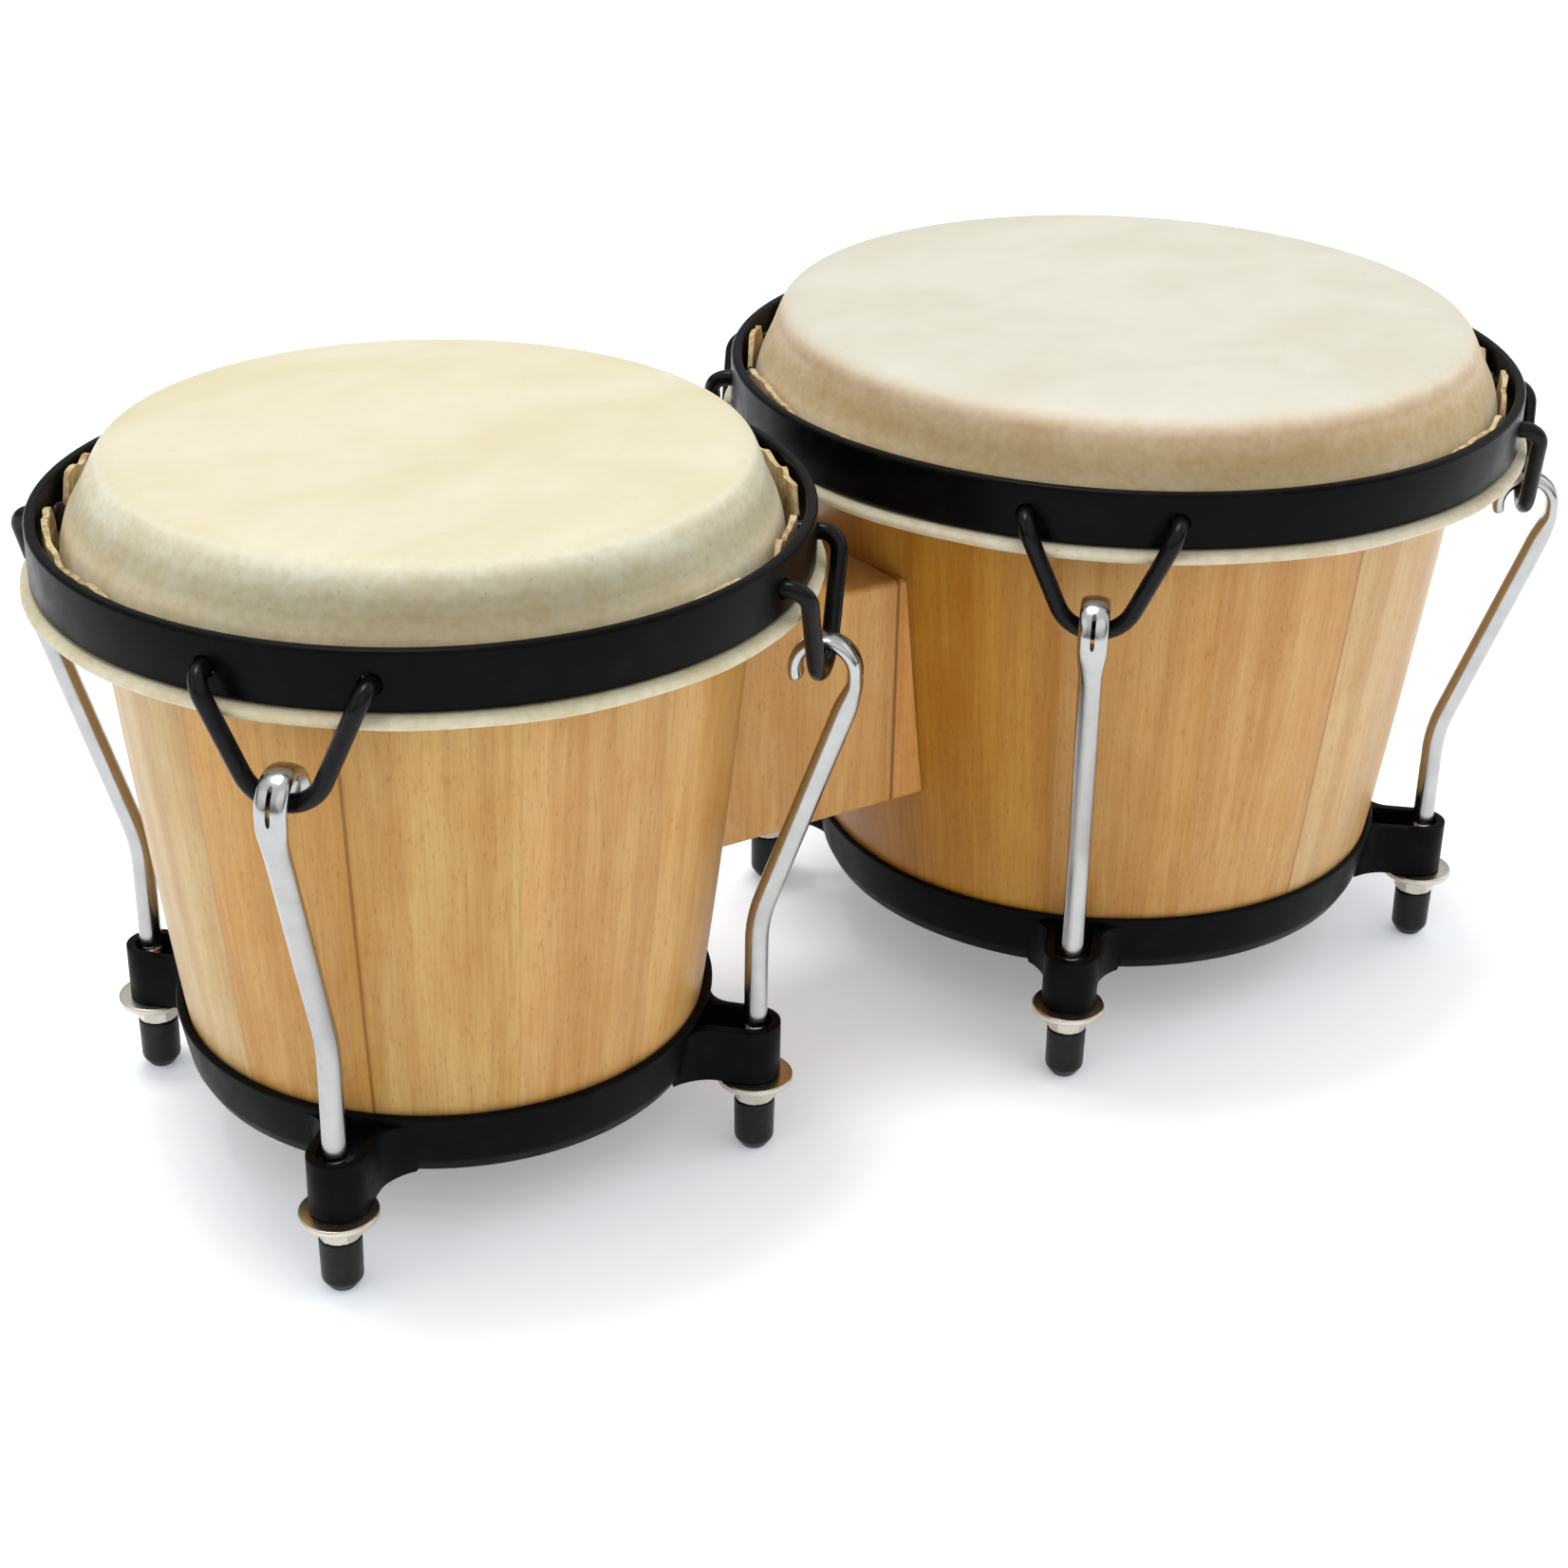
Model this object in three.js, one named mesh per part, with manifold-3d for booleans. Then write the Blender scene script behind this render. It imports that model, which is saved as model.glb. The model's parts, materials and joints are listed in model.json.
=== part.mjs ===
// Bongo drums: two tapered wooden shells joined by a wooden block. Each shell carries a rawhide head that is
// held by a steel rim, four V hooks and four threaded tension rods, whose capped ends are the feet.
// Millimetres, +Z up, +X from the small drum to the large one, origin on the floor under the middle.
import * as THREE from 'three';
import { mergeVertices } from 'three/addons/utils/BufferGeometryUtils.js';
import Module from 'manifold-3d';

const wasm = await Module();
wasm.setup();

// ---- driving dimensions ----
const DRUM_SPACING = 214.5;
const HEAD_TOP = 189.2;
const GAP = 0.3; // clearance between pieces that touch
const ROUND = 48; // facets of a turned piece

const DRUMS = [
  {
    name: 'small', rim: 94.3, head: 85.5, shellTop: 82.6, shellBottom: 65.0, bulge: 1.2,
    ring: 69.7, rod: 83.0, hook: 98.2, lugTurn: 0, blockSide: 1,
  },
  {
    name: 'large', rim: 109.2, head: 100.5, shellTop: 98.2, shellBottom: 78.8, bulge: 0.9,
    ring: 82.9, rod: 97.7, hook: 113.3, lugTurn: 3.66, blockSide: -1,
  },
];
const LUG_ANGLES = [45, 135, 225, 315];

const SHELL = { bottom: 24.6, wall: 10.5, edgeStart: 174 };
const SKIN_THICKNESS = 1.4;
const RIM = { top: 173.8, height: 14.6, thickness: 2.8, corner: 0.9 };
const HOLE = { z: 166, radius: 2.75, spread: 18.8 };
const COLLAR = { z: 157.1, halfWidth: 3.6, halfHeight: 1.8, reach: 2.3 };
const HOOP = { width: 4.2, height: 1.0 };
const V_HOOK = { radius: 2.2, bottom: 141.2, turn: 12.3, lean: 24.4, armTop: 161, headRadius: 3.5, headLength: 1.6 };
const ROD = { radius: 3, bottom: 2.9, bend: 68, slantTop: 128.9, curlHeight: 138.6, curlRadius: 7.3, reach: 8 };
const HOOK_BAR = { width: 7.4, thickness: 3.6, slotWidth: 1.1 };
const RING = { top: 40, bottom: 22.45, lip: 1.85, lipWidth: 4.5 };
const EAR = { halfWidth: 7.4, wall: 2.4, reach: 6.5, fillet: 6.5, taper: 3.8, root: 6, bottom: 22.6, top: 37.6 };
const EAR_SINK = 0.6; // how far an ear's root ends from the ring's inner face
const WASHER = { radius: 9.9, top: 22.15, thickness: 1.85 };
const NUT = { acrossFlats: 10, top: 20.0, height: 5.0 };
const CAP = { radius: 5.3, height: 14.7, floor: 2.6, tip: 3.2 };
const BLOCK = { width: 50, bottom: 69, top: 134 };
const BOLT = { radius: 3, headRadius: 5.5, headLength: 4.5, heights: [85, 118], depth: 22 };
const PLATE = { thickness: 2, width: 16, height: 60, standOff: 2.1 };

// ---- materials ----
const finish = (color, roughness, metalness) => new THREE.MeshStandardMaterial({ color, roughness, metalness });
const MATERIALS = {
  wood: finish(0xd3a268, 0.42, 0),
  skin: finish(0xe3d9bd, 0.6, 0),
  blackSteel: finish(0x141414, 0.4, 0.6),
  chrome: finish(0xd8d8d6, 0.15, 1),
  zinc: finish(0xc8c4b8, 0.3, 1),
  rubber: finish(0x0c0c0c, 0.7, 0),
};

// ---- solids ----
const radians = THREE.MathUtils.degToRad;

// A closed geometry with its shared vertices merged, no collapsed triangles, and its faces pointing out.
function closed(geometry) {
  const bare = geometry.index ? geometry.toNonIndexed() : geometry.clone();
  for (const name of Object.keys(bare.attributes)) if (name !== 'position') bare.deleteAttribute(name);
  const merged = mergeVertices(bare, 1e-4);
  const at = merged.attributes.position;
  const corners = [0, 1, 2].map(() => new THREE.Vector3());
  const kept = [];
  let volume = 0;
  for (let i = 0; i < merged.index.count; i += 3) {
    const triangle = [0, 1, 2].map((k) => merged.index.getX(i + k));
    if (new Set(triangle).size < 3) continue;
    triangle.forEach((vertex, k) => corners[k].fromBufferAttribute(at, vertex));
    volume += corners[0].dot(corners[1].clone().cross(corners[2]));
    kept.push(triangle);
  }
  const order = volume < 0 ? [0, 2, 1] : [0, 1, 2];
  merged.setIndex(kept.flatMap((triangle) => order.map((k) => triangle[k])));
  return merged;
}

function toSolid(geometry) {
  const { attributes, index } = closed(geometry);
  return new wasm.Manifold(new wasm.Mesh({
    numProp: 3,
    vertProperties: new Float32Array(attributes.position.array),
    triVerts: new Uint32Array(index.array),
  }));
}

function toGeometry(solid) {
  const mesh = solid.getMesh();
  const geometry = new THREE.BufferGeometry();
  geometry.setAttribute('position', new THREE.BufferAttribute(mesh.vertProperties, 3));
  geometry.setIndex(new THREE.BufferAttribute(mesh.triVerts, 1));
  return geometry;
}

const cut = (geometry, tools) => toGeometry(
  tools.reduce((solid, tool) => solid.subtract(toSolid(tool)), toSolid(geometry)),
);
const join = (geometry, others) => toGeometry(
  others.reduce((solid, other) => solid.add(toSolid(other)), toSolid(geometry)),
);

// A profile of [radius, height] points turned about Z.
function turned(profile, facets = ROUND) {
  const lathe = new THREE.LatheGeometry(profile.map(([r, z]) => new THREE.Vector2(r, z)), facets);
  return lathe.rotateX(Math.PI / 2);
}

// A closed ring profile is turned by returning to its first point.
const turnedRing = (profile, facets = ROUND) => turned([...profile, profile[0]], facets);

function ellipse(halfX, halfY, sides) {
  const points = Array.from({ length: sides }, (_, i) => {
    const angle = (2 * Math.PI * i) / sides;
    return new THREE.Vector2(halfX * Math.cos(angle), halfY * Math.sin(angle));
  });
  return new THREE.Shape(points);
}

// A smooth path with one section of the sweep at each of its points.
class BendPath extends THREE.CatmullRomCurve3 {
  getUtoTmapping(u) {
    return u;
  }
}

function swept(section, points) {
  const extrudePath = new BendPath(points, false, 'centripetal');
  return new THREE.ExtrudeGeometry(section, { extrudePath, steps: points.length - 1 });
}

// A cylinder along X from x0 to x1.
function barAlongX(radius, x0, x1, y, z, sides = 8) {
  const bar = new THREE.CylinderGeometry(radius, radius, x1 - x0, sides);
  return bar.rotateZ(Math.PI / 2).translate((x0 + x1) / 2, y, z);
}

// The radius of a hole with flat facets that clears a rod all round.
const rodBore = (sides) => (ROD.radius + GAP) / Math.cos(Math.PI / sides);

// The points of a profile moved to its inner side by a distance.
function inset(profile, distance) {
  return profile.map((point, i) => {
    const before = profile[Math.max(i - 1, 0)];
    const after = profile[Math.min(i + 1, profile.length - 1)];
    const along = new THREE.Vector2(after[0] - before[0], after[1] - before[1]).normalize();
    return [point[0] + along.y * distance, point[1] - along.x * distance];
  });
}

// ---- outlines shared by touching pieces ----
const shellHeight = HEAD_TOP - SKIN_THICKNESS - GAP - SHELL.bottom;

function shellRadius(drum, z) {
  const rise = (z - SHELL.bottom) / shellHeight;
  const straight = drum.shellBottom + (drum.shellTop - drum.shellBottom) * rise;
  return straight + drum.bulge * 4 * rise * (1 - rise);
}

// The bore is a plain cone between these heights.
const BORE_ENDS = [SHELL.bottom, 182];
const [boreBottom, boreTop] = BORE_ENDS;
const boreEnd = (drum, z) => shellRadius(drum, z) - SHELL.wall;
const boreSlope = (drum) => (boreEnd(drum, boreTop) - boreEnd(drum, boreBottom)) / (boreTop - boreBottom);
const boreRadius = (drum, z) => boreEnd(drum, boreBottom) + boreSlope(drum) * (z - boreBottom);

// The head's outer face from the flat playing area over the crown: [from the head's radius, below its top].
const CROWN = [[-16.3, 0], [-9.6, 1.6], [-5.2, 4.3], [-2.1, 9.2]];
const SKIRT = [[0, 17], [0.3, 28.4], [3.2, 31.4]];
const headPoint = (drum) => ([offset, drop]) => [drum.head + offset, HEAD_TOP - drop];

// A solid wider than the shell by a clearance, to hollow a piece that sits against it.
function shellClearance(drum, clearance = GAP) {
  const heights = [0, 24.6, 40, 70, 100, 134, 160];
  const side = heights.map((z) => [shellRadius(drum, Math.max(z, SHELL.bottom)) + clearance, z]);
  return turned([[0, heights[0]], ...side, [0, heights.at(-1)]]);
}

// ---- pieces of one drum, about the drum's own axis ----
const boltHoles = (drum) => BOLT.heights.map((z) => {
  const bore = barAlongX(BOLT.radius + GAP, 30, 130, 0, z);
  return drum.blockSide > 0 ? bore : bore.rotateZ(Math.PI);
});

function shell(drum) {
  const outside = [SHELL.bottom, 75, 125, SHELL.edgeStart].map((z) => [shellRadius(drum, z), z]);
  const edge = inset(CROWN.map(headPoint(drum)), SKIN_THICKNESS + GAP).slice(0, 3).reverse();
  const inside = [boreTop, boreBottom].map((z) => [boreRadius(drum, z), z]);
  return cut(turnedRing([...outside, ...edge, ...inside]), boltHoles(drum));
}

function head(drum) {
  const outer = [...CROWN, ...SKIRT].map(headPoint(drum));
  const inner = inset(outer, SKIN_THICKNESS).reverse();
  return turned([[0, HEAD_TOP], ...outer, ...inner, [0, HEAD_TOP - SKIN_THICKNESS]]);
}

const collarRadius = (drum) => drum.rim + COLLAR.reach - COLLAR.halfWidth;

// The skin's edge, wrapped round the flesh hoop with a slit left on its inner side.
function tuckedSkin(drum) {
  const outer = [172, 115, 60, 0, -60, -115, -172].map((degrees) => [
    COLLAR.halfWidth * Math.cos(radians(degrees)),
    COLLAR.halfHeight * Math.sin(radians(degrees)),
  ]);
  const x = HOOP.width / 2 + GAP;
  const z = HOOP.height / 2 + GAP;
  const pocket = [[-x, -z], [x, -z], [x, z], [-x, z]];
  return turnedRing([...outer, ...pocket].map(([dx, dz]) => [collarRadius(drum) + dx, COLLAR.z + dz]));
}

function fleshHoop(drum) {
  const corners = [[1, -1], [1, 1], [-1, 1], [-1, -1]];
  return turnedRing(corners.map(([i, j]) => [
    collarRadius(drum) + (i * HOOP.width) / 2,
    COLLAR.z + (j * HOOP.height) / 2,
  ]));
}

const lugAngle = (drum, i) => radians(LUG_ANGLES[i] + drum.lugTurn);

function rim(drum) {
  const inner = drum.rim - RIM.thickness;
  const bottom = RIM.top - RIM.height;
  const band = turnedRing([
    [inner, bottom], [drum.rim - RIM.corner, bottom], [drum.rim, bottom + RIM.corner],
    [drum.rim, RIM.top - RIM.corner], [drum.rim - RIM.corner, RIM.top], [inner, RIM.top],
  ]);
  const holes = LUG_ANGLES.flatMap((_, i) => [-1, 1].map((side) => barAlongX(
    HOLE.radius, drum.rim - 15, drum.rim + 5, side * HOLE.spread, HOLE.z,
  ).rotateZ(lugAngle(drum, i))));
  return cut(band, holes);
}

// The inner face of the rim beside a V hook's hole, along the lug's own direction.
const rimInside = (drum) => Math.sqrt((drum.rim - RIM.thickness) ** 2 - (HOLE.spread + V_HOOK.headRadius) ** 2);

function vHook(drum) {
  const centre = V_HOOK.bottom + V_HOOK.turn;
  const limit = 90 - V_HOOK.lean;
  const footY = V_HOOK.turn * Math.sin(radians(limit));
  const footZ = centre - V_HOOK.turn * Math.cos(radians(limit));
  const armY = footY + (V_HOOK.armTop - footZ) * Math.tan(radians(V_HOOK.lean));
  const stub = rimInside(drum) - 1.2;
  const arm = [
    [stub, HOLE.spread, HOLE.z],
    [drum.hook - 4.4, HOLE.spread, HOLE.z],
    [drum.hook - 1.2, HOLE.spread - 0.2, HOLE.z - 1.3],
    [drum.hook, armY, V_HOOK.armTop],
  ];
  const loop = [1, 0.7, 0.35, 0].map((part) => [
    drum.hook,
    V_HOOK.turn * Math.sin(radians(part * limit)),
    centre - V_HOOK.turn * Math.cos(radians(part * limit)),
  ]);
  const half = [...arm, ...loop];
  const other = half.slice(0, -1).reverse().map(([x, y, z]) => [x, -y, z]);
  const path = [...half, ...other].map((point) => new THREE.Vector3(...point));
  const heads = [-1, 1].map((side) => barAlongX(
    V_HOOK.headRadius, stub - V_HOOK.headLength, stub + 0.2, side * HOLE.spread, HOLE.z,
  ));
  return join(swept(ellipse(V_HOOK.radius, V_HOOK.radius, 8), path), heads);
}

function tensionRod(drum) {
  const outer = drum.hook + ROD.reach;
  const curl = (degrees) => [
    outer - ROD.curlRadius * (1 - Math.cos(radians(degrees))),
    ROD.curlHeight + ROD.curlRadius * Math.sin(radians(degrees)),
  ];
  const along = (points) => points.map(([x, z]) => new THREE.Vector3(x, 0, z));
  const slant = [[outer - 2.1, ROD.slantTop], [outer - 0.9, ROD.slantTop + 4.1]];
  const lower = [
    [drum.rod, ROD.bottom], [drum.rod, ROD.bend - 6.6], [drum.rod + 0.6, ROD.bend],
    [drum.rod + 2.2, ROD.bend + 6.3],
  ];
  const round = swept(ellipse(ROD.radius, ROD.radius, 8), along([...lower, ...slant]));
  const section = ellipse(HOOK_BAR.width / 2, HOOK_BAR.thickness / 2, 8);
  const tip = [-12, 25, 60, 95, 130, 165, 195].map(curl);
  const bar = swept(section, along([[outer - 3, ROD.slantTop - 2.6], ...slant, ...tip]));
  const slotSection = new THREE.Shape([[-1, -1], [1, -1], [1, 1], [-1, 1]].map(
    ([i, j]) => new THREE.Vector2((i * HOOK_BAR.slotWidth) / 2, j * HOOK_BAR.thickness),
  ));
  return cut(join(round, [bar]), [swept(slotSection, along([-12, 25, 60].map(curl)))]);
}

function bottomRing(drum) {
  const lipTop = RING.bottom + RING.lip;
  const lipInner = drum.shellBottom - RING.lipWidth;
  const band = turnedRing([
    [drum.ring - 4.6, RING.bottom], [drum.ring - 2.4, 27.5], [drum.ring, RING.top],
    [shellRadius(drum, RING.top) + GAP, RING.top], [shellRadius(drum, lipTop) + GAP, lipTop],
    [lipInner, lipTop], [lipInner, RING.bottom],
  ]);
  const centre = drum.rod + EAR.reach - EAR.halfWidth;
  const root = drum.ring - EAR.root;
  const filletFoot = EAR.halfWidth + EAR.fillet;
  const face = Math.sqrt(drum.ring ** 2 - filletFoot ** 2) - GAP;
  const nose = (halfWidth) => [
    ...[90, 67.5, 45, 22.5].map((degrees) => [
      centre + halfWidth * Math.cos(radians(degrees)), halfWidth * Math.sin(radians(degrees)),
    ]),
    [centre + halfWidth, 0],
  ];
  const gusset = [0, 30, 60, 90].map((degrees) => [
    face + EAR.fillet * (1 - Math.cos(radians(degrees))),
    filletFoot - EAR.fillet * Math.sin(radians(degrees)),
  ]);
  const outline = [[root, filletFoot], ...gusset, ...nose(EAR.halfWidth)];
  const inside = EAR.halfWidth - EAR.wall;
  const pocket = [[root, inside], ...nose(inside)];
  const mirrored = (points) => points.slice(0, -1).reverse().map(([x, y]) => [x, -y]);
  const strap = new THREE.Shape([
    ...[...outline, ...mirrored(outline)], ...[...pocket, ...mirrored(pocket)].reverse(),
  ].map(([x, y]) => new THREE.Vector2(x, y)));
  const blank = new THREE.ExtrudeGeometry(strap, { depth: EAR.top - EAR.bottom, bevelEnabled: false });
  const { position } = blank.attributes;
  for (let i = 0; i < position.count; i += 1) {
    const outward = Math.max(0, (Math.abs(position.getY(i)) - EAR.halfWidth) / EAR.fillet);
    const down = 1 - position.getZ(i) / (EAR.top - EAR.bottom);
    position.setX(i, position.getX(i) - EAR.taper * outward * down);
  }
  const ear = cut(blank.translate(0, 0, EAR.bottom), [shellClearance(drum, GAP + EAR_SINK)]);
  return join(band, LUG_ANGLES.map((_, i) => ear.clone().rotateZ(lugAngle(drum, i))));
}

// ---- pieces at one lug, about the rod's axis ----
function washer() {
  const bottom = WASHER.top - WASHER.thickness;
  const bore = rodBore(12);
  return turnedRing([
    [bore, bottom], [WASHER.radius, bottom], [WASHER.radius, WASHER.top], [bore, WASHER.top],
  ], 12);
}

function nut() {
  const outside = ellipse(NUT.acrossFlats / Math.sqrt(3), NUT.acrossFlats / Math.sqrt(3), 6);
  outside.holes.push(new THREE.Path(ellipse(rodBore(10), rodBore(10), 10).getPoints().reverse()));
  const hex = new THREE.ExtrudeGeometry(outside, { depth: NUT.height, bevelEnabled: false });
  return hex.translate(0, 0, NUT.top - NUT.height);
}

function footCap() {
  const { radius, height, floor, tip } = CAP;
  const bore = rodBore(10);
  return turned([
    [0, 0], [tip, 0], [radius - 0.7, 1.2], [radius, 3.6], [radius, height], [bore, height], [bore, floor],
    [0, floor],
  ], 10);
}

// ---- the joint between the drums, in the small drum's frame ----
function centreBlock() {
  const height = BLOCK.top - BLOCK.bottom;
  const blank = new THREE.BoxGeometry(DRUM_SPACING - 110, BLOCK.width, height);
  blank.translate(DRUM_SPACING / 2 - 7, 0, BLOCK.bottom + height / 2);
  const [small, large] = DRUMS;
  const bores = BOLT.heights.flatMap((z) => DRUMS.map((drum) => {
    const face = shellRadius(drum, z);
    const end = face + BOLT.depth + 1;
    return drum === small
      ? barAlongX(BOLT.radius + GAP, face - 10, end, 0, z)
      : barAlongX(BOLT.radius + GAP, DRUM_SPACING - end, DRUM_SPACING - face + 10, 0, z);
  }));
  return cut(blank, [shellClearance(small), shellClearance(large).translate(DRUM_SPACING, 0, 0), ...bores]);
}

const plateHeight = (BLOCK.bottom + BLOCK.top) / 2;
const plateLean = (drum) => Math.atan(boreSlope(drum));
const plateRadius = (drum) => boreRadius(drum, plateHeight) - PLATE.standOff;

function backingPlate(drum) {
  const plate = new THREE.BoxGeometry(PLATE.thickness, PLATE.width, PLATE.height);
  plate.rotateY(plateLean(drum)).translate(plateRadius(drum), 0, plateHeight);
  return cut(plate, BOLT.heights.map((z) => barAlongX(BOLT.radius + GAP, 30, 130, 0, z)));
}

function blockBolt(drum, z) {
  const backFace = plateRadius(drum) + (z - plateHeight) * boreSlope(drum);
  const seat = backFace - PLATE.thickness / 2 - 1.2;
  const end = shellRadius(drum, z) + BOLT.depth;
  const headPiece = barAlongX(BOLT.headRadius, seat - BOLT.headLength, seat, 0, z, 6);
  return join(headPiece, [barAlongX(BOLT.radius, seat - 1, end, 0, z)]);
}

// ---- assembly ----
const collarOuter = (drum) => drum.rim + COLLAR.reach;
const [smallDrum, largeDrum] = DRUMS;
const middle = (DRUM_SPACING + collarOuter(largeDrum) - collarOuter(smallDrum)) / 2;

function piece(name, geometry, material) {
  const mesh = new THREE.Mesh(closed(geometry), material);
  mesh.name = name;
  return mesh;
}

function lug(drum, i, shared) {
  const group = new THREE.Group();
  group.rotation.z = lugAngle(drum, i);
  const number = i + 1;
  group.add(piece(`${drum.name}_v_hook_${number}`, shared.hook, MATERIALS.blackSteel));
  group.add(piece(`${drum.name}_tension_rod_${number}`, shared.rod, MATERIALS.chrome));
  const foot = new THREE.Group();
  foot.position.x = drum.rod;
  foot.add(piece(`${drum.name}_washer_${number}`, washer(), MATERIALS.zinc));
  foot.add(piece(`${drum.name}_nut_${number}`, nut(), MATERIALS.zinc));
  foot.add(piece(`${drum.name}_foot_cap_${number}`, footCap(), MATERIALS.rubber));
  group.add(foot);
  return group;
}

function drumGroup(drum) {
  const group = new THREE.Group();
  group.position.x = drum === smallDrum ? -middle : DRUM_SPACING - middle;
  group.add(piece(`${drum.name}_shell`, shell(drum), MATERIALS.wood));
  group.add(piece(`${drum.name}_head`, head(drum), MATERIALS.skin));
  group.add(piece(`${drum.name}_tucked_skin`, tuckedSkin(drum), MATERIALS.skin));
  group.add(piece(`${drum.name}_flesh_hoop`, fleshHoop(drum), MATERIALS.zinc));
  group.add(piece(`${drum.name}_rim`, rim(drum), MATERIALS.blackSteel));
  group.add(piece(`${drum.name}_bottom_ring`, bottomRing(drum), MATERIALS.blackSteel));
  const shared = { hook: vHook(drum), rod: tensionRod(drum) };
  LUG_ANGLES.forEach((_, i) => group.add(lug(drum, i, shared)));
  const fixings = new THREE.Group();
  fixings.rotation.z = drum.blockSide > 0 ? 0 : Math.PI;
  fixings.add(piece(`${drum.name}_backing_plate`, backingPlate(drum), MATERIALS.zinc));
  BOLT.heights.forEach((z, i) => {
    fixings.add(piece(`${drum.name}_block_bolt_${i + 1}`, blockBolt(drum, z), MATERIALS.zinc));
  });
  group.add(fixings);
  return group;
}

const bongos = new THREE.Group();
bongos.name = 'bongo_drums';
DRUMS.forEach((drum) => bongos.add(drumGroup(drum)));
const block = piece('centre_block', centreBlock(), MATERIALS.wood);
block.position.x = -middle;
bongos.add(block);

export default bongos;
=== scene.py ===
"""Bongo drums: the visible surfaces, materials, floor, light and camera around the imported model."""
import json
import math

import bmesh
import bpy
import numpy as np
from mathutils import Matrix, Vector


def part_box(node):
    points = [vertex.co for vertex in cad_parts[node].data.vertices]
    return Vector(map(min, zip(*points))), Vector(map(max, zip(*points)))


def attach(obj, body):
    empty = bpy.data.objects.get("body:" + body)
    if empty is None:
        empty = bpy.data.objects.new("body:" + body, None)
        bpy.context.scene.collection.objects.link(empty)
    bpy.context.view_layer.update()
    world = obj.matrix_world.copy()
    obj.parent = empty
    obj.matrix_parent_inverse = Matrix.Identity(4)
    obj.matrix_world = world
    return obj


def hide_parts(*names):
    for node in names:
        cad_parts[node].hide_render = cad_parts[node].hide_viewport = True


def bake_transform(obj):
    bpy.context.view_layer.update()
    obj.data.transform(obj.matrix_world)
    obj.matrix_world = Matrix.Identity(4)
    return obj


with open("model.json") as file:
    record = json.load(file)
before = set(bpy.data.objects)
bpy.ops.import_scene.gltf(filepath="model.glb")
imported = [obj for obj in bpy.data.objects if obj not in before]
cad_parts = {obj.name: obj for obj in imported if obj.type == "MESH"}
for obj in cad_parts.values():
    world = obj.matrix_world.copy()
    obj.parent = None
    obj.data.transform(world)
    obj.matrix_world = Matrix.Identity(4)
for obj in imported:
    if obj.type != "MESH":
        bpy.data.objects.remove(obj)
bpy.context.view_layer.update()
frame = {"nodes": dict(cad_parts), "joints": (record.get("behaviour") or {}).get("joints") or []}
MM = 0.001
DRUMS = ("small", "large")
LUGS = (1, 2, 3, 4)

# Measures that both drums share, in millimetres above the floor or along a part.
SHELL_FOOT = 24.6
SHELL_HEIGHT = 162.9
SHELL_WALL = 10.5
RING_LEDGE = 24.3
RIM_WALL = 2.8
HOLE_HEIGHT = 166
HOLE_SPREAD = 18.8
SKIN_THICK = 1.4
FIT = 0.3  # the gap that wood leaves to what it stands in or against


# ---------------------------------------------------------------------------------------------
# Measures from the frame, in millimetres
# ---------------------------------------------------------------------------------------------
class Drum:
    """One drum's measures, read from its CAD nodes. Radii are from the drum's own axis."""

    def __init__(self, name):
        self.name = name
        low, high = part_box(f"{name}_shell")
        self.x = (low.x + high.x) / 2 / MM
        self.shell_bottom = low.z / MM
        low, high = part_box(f"{name}_rim")
        self.rim = (high.x - low.x) / 2 / MM
        self.rim_bottom, self.rim_top = low.z / MM, high.z / MM
        low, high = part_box(f"{name}_head")
        self.head_top = high.z / MM
        low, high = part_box(f"{name}_tucked_skin")
        self.collar = (high.x - low.x) / 2 / MM
        self.collar_bottom, self.collar_top = low.z / MM, high.z / MM
        low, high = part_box(f"{name}_bottom_ring")
        self.ring_bottom, self.ring_top = low.z / MM, high.z / MM
        self.lugs = []
        for i in LUGS:
            joint = next(j for j in frame["joints"] if j["child"] == f"{name}_nut_{i}")
            px, py, _ = joint["pos_m"]
            dx, dy = px / MM - self.x, py / MM
            self.lugs.append((math.atan2(dy, dx), math.hypot(dx, dy)))
        self.rod = self.lugs[0][1]
        # What a box can't give: the shell's cone and its bulge, the head's radius, the ring's at its top.
        self.cone, self.bulge, self.head, self.ring_top_radius = {
            "small": ((65.0, 82.6), 1.2, 85.5, 69.7),
            "large": ((78.8, 98.2), 0.9, 100.5, 82.9),
        }[name]
        self.hook = self.rim + 3.9

    def shell_radius(self, z):
        rise = (z - SHELL_FOOT) / SHELL_HEIGHT
        return self.cone[0] + (self.cone[1] - self.cone[0]) * rise + self.bulge * 4 * rise * (1 - rise)


small, large = (Drum(name) for name in DRUMS)


# ---------------------------------------------------------------------------------------------
# Camera
# ---------------------------------------------------------------------------------------------
def make_camera():
    look = Vector((0.48893, 0.74807, -0.44871)).normalized()
    level = look.cross(Vector((0, 0, 1))).normalized()
    down = look.cross(level)
    roll = math.radians(-1.11)
    right = level * math.cos(roll) + down * math.sin(roll)
    drop = -level * math.sin(roll) + down * math.cos(roll)
    data = bpy.data.cameras.new("camera")
    data.lens, data.sensor_width = 64.02, 36.0
    data.clip_start, data.clip_end = 0.01, 50
    camera = bpy.data.objects.new("camera", data)
    bpy.context.scene.collection.objects.link(camera)
    position = Vector((small.x * MM - 0.2715, -0.57509, 0.41339))
    camera.matrix_world = Matrix.Translation(position) @ Matrix((right, -drop, -look)).transposed().to_4x4()
    bpy.context.scene.camera = camera


make_camera()


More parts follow.
